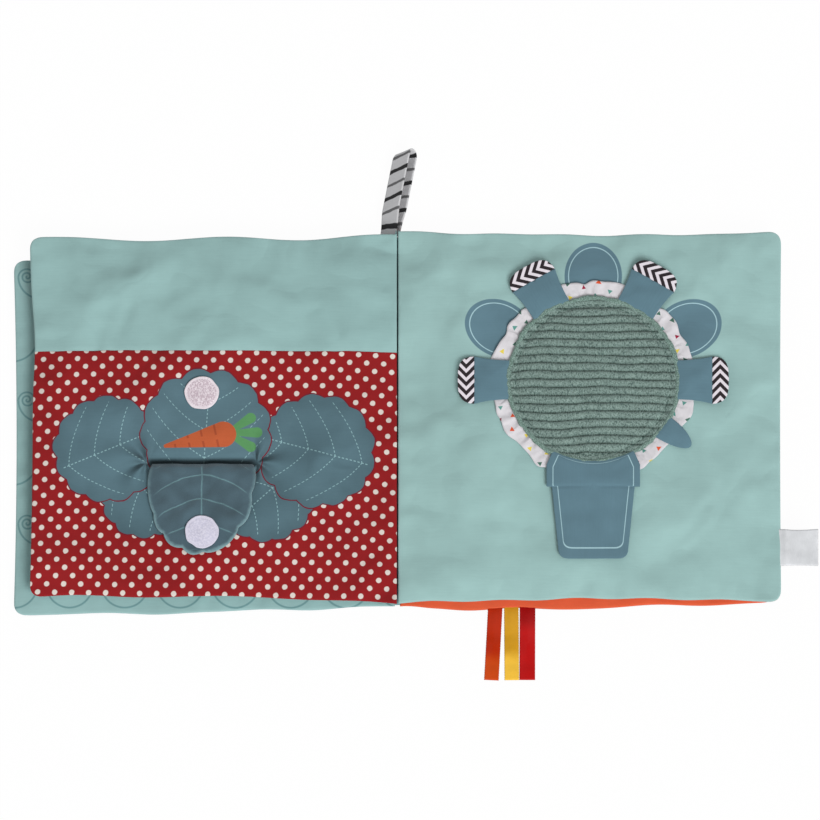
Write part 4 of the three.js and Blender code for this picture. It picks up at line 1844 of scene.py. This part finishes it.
@dataclass
class Flower:
    """The loose petals, leaf tab and pot flap, hinged round the disc's rim."""

    centre: Spot = DISC_CENTRE
    hinge: float = 41.0
    tucked: float = 39.2
    tip_seam: float = 14.95
    pot_seam: float = 11.0
    turns: tuple[float, ...] = (0, 60, 120, 180)
    tab_turn: float = -35
    pot_turn: float = -90
    low: float = 19.4
    petal: float = 0.8
    bend: float = 5.0

    def rim(self, half: float) -> Array:
        """The inner edge of a loose piece, which reaches under the overlocked rim."""
        across = np.linspace(half, -half, 9)
        return np.column_stack([np.sqrt((self.tucked + 0.2) ** 2 - across ** 2), across])

    def petal_outline(self) -> Array:
        """A petal that widens to its tip's seam and ends round."""
        h = self.hinge
        base, seam, wide, tip = 9.5, 14.8, 11.5, 22.7
        rim = self.rim(base)
        side = curve(rim[-1], (h + seam / 2, -base), (h + seam, -wide))
        end = curve(side[-1], (h + tip, -wide), (h + tip, -wide / 2), (h + tip, 0))
        half = np.vstack([side, end])
        return np.vstack([rim, half, half[-2::-1] * (1, -1)])

    def tab_outline(self) -> Array:
        """A small pointed leaf."""
        h, half, long = self.hinge, 6.0, 15.0
        rim = self.rim(half)
        side = curve(rim[-1], (h + long / 2, -half), (h + long, -half / 2), (h + long, 0))
        return np.vstack([rim, side, side[-2::-1] * (1, -1)])

    def pot_outline(self) -> Array:
        """A flower pot with a deep rim and rounded feet."""
        h, deep = self.hinge, self.pot_seam
        wide, body, foot, long, corner = 22.0, 19.5, 16.5, 46.0, 5.0
        rim = np.vstack([[(h + 0.3, wide)], self.rim(wide - 3), [(h + 0.3, -wide)]])
        side = np.array([(h + deep, -wide), (h + deep, -body), (h + long - corner, -foot)])
        round_foot = curve(side[-1], (h + long, -foot), (h + long, corner - foot), steps=6)
        half = np.vstack([side, round_foot])
        return np.vstack([rim, half, half[::-1] * (1, -1)])

    def rise(self, flat: Array) -> Array:
        """Tucks the sewn end under the rim and lets the free end settle."""
        reach = np.hypot(*flat.T)
        tuck = -0.28 * (1 - ease((reach - self.tucked) / 2.4))
        settle = -0.5 * ease((reach - 48) / 9) + 0.5 * ease((reach - 58) / 7)
        groove = -0.22 * bell(flat[:, 0] - self.hinge - self.tip_seam, 0.5)
        return tuck + settle + groove

    def pot_rise(self, flat: Array) -> Array:
        """Tucks the pot's sewn end, creases it under its rim and lets its foot settle."""
        reach = np.hypot(*flat.T)
        tuck = -0.25 * (1 - ease((reach - self.tucked) / 2.4))
        settle = -0.45 * ease((flat[:, 0] - 50) / 14)
        crease = -0.3 * bell(flat[:, 0] - self.hinge - self.pot_seam, 0.7)
        crease = crease * ease((20.5 - np.abs(flat[:, 1])) / 2)
        ripple = waves(*flat.T, 15, 16, 34) * 0.1
        return tuck + settle + crease + np.clip(ripple, -0.15, 0.15)

    def build_petal(self, number: int, turn: float) -> list[Piece]:
        """Builds one petal and cuts it into its slate part and its striped tip.

        Args:
            number: The petal's number, from 1.
            turn: Its direction from the middle, in degrees.

        Returns:
            The slate part and the tip.
        """
        whole = Pillow(f"petal_{number}_slate", self.petal_outline(), self.low,
                       self.low + self.petal, (self.hinge + 10, 0), crown=0.45, edge=0.42,
                       around=128, rings=32, wrinkle=0.1, seed=50 + number)
        slate = whole.build(turn, self.centre, self.rise)
        tip = copy_of(slate, f"petal_{number}_stripes")
        angle = math.radians(turn)
        out = np.array([math.cos(angle), math.sin(angle), 0.0])
        seam = np.array([*self.centre, 0.0]) + out * (self.hinge + self.tip_seam)
        cut_off(slate, seam, out)
        cut_off(tip, seam, -out)
        SLATE.dress(slate)
        CHEVRON.dress(tip)
        for piece, slot, node in ((slate, "slate_cloth", f"petal_{number}"),
                                  (tip, "chevron_cloth", f"petal_tip_{number}")):
            hang(piece, slot, node)
        return [slate, tip]

    def build(self) -> list[Piece]:
        """Builds all the loose pieces."""
        made = []
        for number, turn in enumerate(self.turns, start=1):
            made += self.build_petal(number, turn)
        tab = Pillow("leaf_tab_slate", self.tab_outline(), self.low, self.low + self.petal,
                     (self.hinge + 5, 0), crown=0.35, around=96, rings=24, seed=61
                     ).build(self.tab_turn, self.centre, self.rise)
        SLATE.dress(tab)
        hang(tab, "slate_cloth",
             "leaf_tab")
        cushion = Pillow("pot_flap", self.pot_outline(), self.low, self.low + 1.3,
                         (self.hinge + 9.5, 0), crown=0.4, edge=0.36, around=300, rings=48,
                         wrinkle=0.12, seed=63)
        pot = cushion.build(self.pot_turn, self.centre, self.pot_rise)
        cushion.face_sides(pot, POT_SLATE.material(), SLATE.material())
        face, lining = part_cloths(pot, ["pot_flap_front", "pot_flap_back"], 0.35)
        for piece, node in ((face, "pot_flap_face"), (lining, "pot_flap_lining")):
            hang(piece,
                 "slate_cloth", node)
        return [*made, tab, face, lining]


# Straps


@dataclass
class Strap:
    """A flat strap along a centre line in a plane, with its width square to the plane."""

    name: str
    width: float
    thickness: float
    line: Array
    columns: int = 12
    picot: float = 0.0
    step: float = 0.6

    def build(self, lay_out: Callable[[Array, Array, Array], Array]) -> Piece:
        """Builds the strap.

        Args:
            lay_out: Turns distances along, heights and distances aside into places.

        Returns:
            The strap, with its own flat map.
        """
        run = run_of(self.line)
        piece, u, v = grid(self.name, self.columns, int(run[-1] / self.step))
        along = v * run[-1]
        edge = np.abs(2 * u - 1) ** 12
        wide = self.width / 2 + self.picot * np.sin(along * 2 * math.pi / 1.2) * edge
        aside = (2 * u - 1) * wide
        lay(piece, lay_out(*(np.interp(along, run, self.line[:, k]) for k in (0, 1)), aside))
        map_cloth(piece, np.column_stack([aside, along]))
        thicken(piece, self.thickness)
        return piece


def folded(middle: Array, half_gap: Array) -> Array:
    """Makes a line that runs out above a middle line, folds over and comes back below it.

    Args:
        middle: The middle line.
        half_gap: How far the line is from it at each point.

    Returns:
        The folded line.
    """
    apart = np.column_stack([half_gap * 0, half_gap])
    upper, lower = middle + apart, middle - apart
    angle = np.linspace(math.pi / 2, -math.pi / 2, 9)[1:-1]
    radius = half_gap[-1]
    fold = middle[-1] + radius * np.column_stack([np.cos(angle), np.sin(angle)])
    return np.vstack([upper, fold, lower[::-1]])


@dataclass
class Ribbon:
    """One satin ribbon, folded double and sewn into the bottom seam."""

    name: str
    colour: Colour
    # Painted light: the tip colour brightens the ribbon towards its fold.
    tip: Colour
    painted_light_reach: float
    x: float
    hem: float
    turn: float
    fall: float
    width: float = 7.0
    rest: float = 1.02
    thick: float = 0.34
    length: float = 34.0
    inside: float = 1.4

    def build(self) -> Piece:
        """Builds and attaches the ribbon."""
        along = np.linspace(-self.inside, self.length - 0.4, 60)
        sway = 0.16 * np.sin(along / 5.2 + self.x) * ease((along - 12) / 8)
        height = mix(COVER_SEAM, self.rest, ease(along / self.fall)) + np.maximum(sway, -0.05)
        line = folded(np.column_stack([along, height]), np.full(60, 0.36))
        angle = math.radians(-90 + self.turn)

        def lay_out(out: Array, z: Array, aside: Array) -> Array:
            """Turns the ribbon down the page and dishes it a little."""
            east, north = spin(out, aside, angle)
            return stack(self.x + east, self.hem + north, z + 0.05 * (aside / 3.5) ** 2)

        ribbon = Strap(f"{self.name}_satin", self.width - 0.3, self.thick, line, columns=18,
                       picot=0.14, step=0.3).build(lay_out)
        Satin(self.name, self.colour, creases=0.2, tip=self.tip,
              painted_light_reach=self.painted_light_reach).dress(ribbon)
        return attach(ribbon, self.name, self.name, self.name)


@dataclass
class Label:
    """The bare satin label, folded double and sewn into the right-hand seam."""

    y: float = -63.9
    start: float = 179.65
    width: float = 18.0
    length: float = 18.0
    inside: float = 1.5

    def build(self) -> Piece:
        """Builds and attaches the label."""
        along = np.linspace(-self.inside, self.length - 0.4, 40)
        droop = -0.25 * ease(along / self.length)
        line = folded(np.column_stack([along, PAGE_SEAM + droop]), np.full(40, 0.36))

        def lay_out(out: Array, z: Array, aside: Array) -> Array:
            """Lays the label out to the right and curls its corners."""
            curl = 0.5 * ease((out - 8) / 10) * (aside / 9) ** 2
            ridge = 0.3 * bell(out - 2.8, 1.2)
            wide = 1 - 0.045 * np.sin(np.clip(out / self.length, 0, 1) * math.pi)
            return stack(self.start + out, self.y + aside * wide, z + curl + ridge)

        label = Strap("label_satin", self.width - 0.2, 0.3, line, columns=24,
                      step=0.5).build(lay_out)
        LABEL.dress(label)
        attach(label, "label", "label_satin", "label")
        return label


@dataclass
class StripedLoop:
    """The striped hanging loop at the head of the spine, leaning and twisted."""

    x: float = -3.2
    base: float = 90.3
    width: float = 9.8
    thick: float = 1.2
    gap: float = 4.2
    base_gap: float = 1.0
    length: float = 40.5
    lean: float = 11.0
    twist: float = 50.0
    inside: float = 1.5

    def build(self) -> Piece:
        """Builds and attaches the loop."""
        half = (self.gap + self.thick) / 2
        straight = self.length - half - self.thick / 2
        along = np.linspace(0, straight, 50)
        gaps = mix((self.base_gap + self.thick) / 2, half, ease(along / 13))
        line = folded(np.column_stack([along, along * 0]), gaps)
        roll, turn = math.radians(self.twist - 90), math.radians(90 - self.lean)

        def lay_out(out: Array, up: Array, aside: Array) -> Array:
            """Skews the upper leg, rolls the strap about its length and leans it."""
            skew = mix(0.08, 0.4, np.clip(up / (2 * half) + 0.5, 0, 1))
            out = out + skew * aside * ease(out / 12)
            y, z = spin(-aside, up, roll)
            return stack(*spin(out, y, turn), z)

        loop = Strap("striped_loop_strap", self.width - 0.2, 0.9, line, step=0.8).build(lay_out)
        place = corners(loop)
        low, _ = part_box("striped_loop")
        place[:, 0] += low.x / MM - place[:, 0].min() - 0.5
        place[:, 1] += low.y / MM - place[:, 1].min()
        place[:, 2] += low.z / MM - place[:, 2].min() + 0.05
        place[:, 1] -= self.inside * (1 - ease((place[:, 1] - self.base) / 8))
        lay(loop, place)
        finish_with(loop, "BEVEL", width=0.3 * MM, segments=2, limit_method="ANGLE")
        STRIPED.dress(loop)
        return attach(loop, "striped_loop", "striped_cloth", "striped_loop")


# Studio and book


@dataclass
class Studio:
    """The camera, the plain light and the pale floor."""

    look_at: tuple[float, float, float] = (5.875, 3.14, 13.0)
    across: float = 385.4
    elevation: float = 75.0
    distance: float = 1500.0
    key: float = 2.3
    key_spread: float = 28.0
    key_tilt: float = 43.0
    key_turn: float = 30.0
    fill: float = 0.46
    glow: float = 0.97

    def add_camera(self) -> None:
        """Looks down at the book as the photograph does."""
        clear_selection()
        angle = math.radians(self.elevation)
        back = np.array([0, -math.cos(angle), math.sin(angle)]) * self.distance
        place = (np.array(self.look_at) + back) * MM
        bpy.ops.object.camera_add(location=tuple(place), rotation=(math.pi / 2 - angle, 0, 0))
        camera = bpy.context.object
        camera.data.type = "ORTHO"
        camera.data.ortho_scale = self.across * MM
        camera.data.clip_start, camera.data.clip_end = 0.05, 20
        bpy.context.scene.camera = camera

    def add_light(self) -> None:
        """Lights the book by a soft key from the front right and an even fill."""
        clear_selection()
        bpy.ops.object.light_add(type="SUN", location=(0.5, -0.7, 1.0))
        key = bpy.context.object
        key.data.energy = self.key
        key.data.angle = math.radians(self.key_spread)
        key.rotation_euler = (math.radians(self.key_tilt), 0, math.radians(self.key_turn))
        world = bpy.data.worlds.new("pale_studio")
        bpy.context.scene.world = world
        world.use_nodes = True
        wires = Wires(world.node_tree)
        ground = world.node_tree.nodes["Background"]
        ground.inputs["Color"].default_value = (1, 1, 1, 1)
        wires.join(self.seen(wires) * (1 - self.fill) + self.fill, ground.inputs["Strength"])

    def seen(self, wires: Wires) -> Wire:
        """Is 1 for rays that show the background and 0 for those that light the book."""
        rays = wires.add("ShaderNodeLightPath")
        seen = Wire(wires, rays.outputs["Is Camera Ray"])
        for name in ("Is Glossy Ray", "Is Transmission Ray"):
            seen = seen.most(Wire(wires, rays.outputs[name]))
        return seen

    def add_floor(self) -> None:
        """Lays a pale floor that still takes the book's soft shadow."""
        clear_selection()
        bpy.ops.mesh.primitive_plane_add(size=12.0, location=(0, 0, -0.0002))
        floor = bpy.context.object
        floor.name = "floor"
        paper = bpy.data.materials.new("pale_paper")
        paper.use_nodes = True
        wires = Wires(paper.node_tree)
        shader = paper.node_tree.nodes["Principled BSDF"]
        shader.inputs["Base Color"].default_value = (0.9, 0.9, 0.9, 1)
        wires.feed(shader, {"Roughness": 1.0, "Specular IOR Level": 0.0})
        glow = wires.add("ShaderNodeEmission")
        glow.inputs["Color"].default_value = (1, 1, 1, 1)
        both = wires.add("ShaderNodeMixShader", self.seen(wires) * self.glow,
                         shader.outputs[0], glow.outputs[0])
        wires.join(both.outputs[0], paper.node_tree.nodes["Material Output"].inputs["Surface"])
        floor.data.materials.append(paper)

    def build(self) -> None:
        """Sets up the whole studio."""
        bpy.context.scene.view_settings.view_transform = "Standard"
        self.add_camera()
        self.add_light()
        self.add_floor()


@dataclass
class ClothBook:
    """The whole book, built sub-assembly by sub-assembly."""

    leaves: tuple[Leaf, ...] = (
        Leaf("back_cover", Side.RIGHT, Level.COVER, 177.0, top=(90, 90), bottom=(-92.5, -88.2),
             fronts=(Face("back_cover_lining", ORANGE, "orange_cloth",
                          ("back_cover_inner_cloth", "back_cover_batting",
                           "back_cover_crinkle_film")),),
             back=Face("back_cover_shell", COVER_OUTER, "cover_outer_cloth",
                       ("back_cover_outer_cloth",)),
             tuck=0.7, bows=(0.7, -0.5), heel=2.0, seed=11),
        Leaf("front_cover", Side.LEFT, Level.COVER, 179.5, top=(88, 78.4), bottom=(-89.9, -94.6),
             fronts=(Face("front_cover_lining", COVER_INNER, "cover_inner_cloth",
                          ("front_cover_inner_cloth", "front_cover_batting",
                           "front_cover_crinkle_film")),),
             back=Face("front_cover_shell", COVER_OUTER, "cover_outer_cloth",
                       ("front_cover_outer_cloth",)),
             bows=(1.4, -0.7), seed=13),
        Leaf("leaf_2", Side.RIGHT, Level.PAGE, 179.4, top=(90, 90), bottom=(-91, -90.8),
             fronts=(Face("right_page_front", PAGE_TEAL, "teal_cloth",
                          ("leaf2_front_cloth", "leaf2_batting", "leaf2_crinkle_film")),),
             back=Face("right_page_back", ORANGE, "orange_cloth", ("leaf2_back_cloth",)),
             calm=((*DISC_CENTRE, 50), (92, -48, 26)), tuck=0.5, bows=(1.9, 2.2), seed=17),
        Leaf("leaf_1", Side.LEFT, Level.PAGE, 172.0, top=(88.2, 87.3), bottom=(-91.6, -88.2),
             fronts=(Face("left_page_dotted", GARDEN, "dotted_cloth", ("leaf1_dotted_cloth",)),
                     Face("left_page_sky", SKY_TEAL, "teal_cloth",
                          ("leaf1_sky_cloth", "leaf1_batting", "leaf1_crinkle_film"))),
             back=Face("left_page_back", COVER_INNER, "cover_inner_cloth",
                       ("leaf1_back_cloth",)),
             seam=122.5, slit=(-92, -22.5, 25.5), calm=((-92, -44, 30), (-92, 10, 12)),
             bows=(1.6, 2.2), seed=19))

    # Each ribbon's second colour is painted light towards its fold.
    ribbons: tuple[Ribbon, ...] = (
        Ribbon("ribbon_orange", (176, 40, 2), (202, 72, 16), painted_light_reach=11.0, x=45.9,
               hem=-91.094, turn=-3.0, fall=14.0),
        Ribbon("ribbon_yellow", (204, 150, 30), (242, 192, 64), painted_light_reach=12.0, x=53.5,
               hem=-90.994, turn=0.4, fall=14.0),
        Ribbon("ribbon_red", (154, 4, 5), (182, 16, 16), painted_light_reach=26.0, x=61.1,
               hem=-90.907, turn=-0.2, fall=18.0, width=7.5))

    def build(self) -> None:
        """Builds every sub-assembly and reports its pieces."""
        steps = (*((leaf.body, leaf.build) for leaf in self.leaves), ("spine", Spine().build),
                 ("garden flap", GardenFlap().build), ("disc", Disc().build),
                 ("flower", Flower().build), ("label", Label().build),
                 ("striped loop", StripedLoop().build),
                 *((ribbon.name, ribbon.build) for ribbon in self.ribbons))
        for name, build in steps:
            made = build()
            for piece in made if isinstance(made, list) else [made]:
                LOG.info("%s: %s, %d faces", name, piece.name, len(piece.data.polygons))


def main() -> None:
    """Builds the studio and the book."""
    logging.basicConfig(level=logging.INFO, format="%(message)s")
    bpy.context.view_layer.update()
    Studio().build()
    ClothBook().build()


if __name__ == "__main__":
    main()
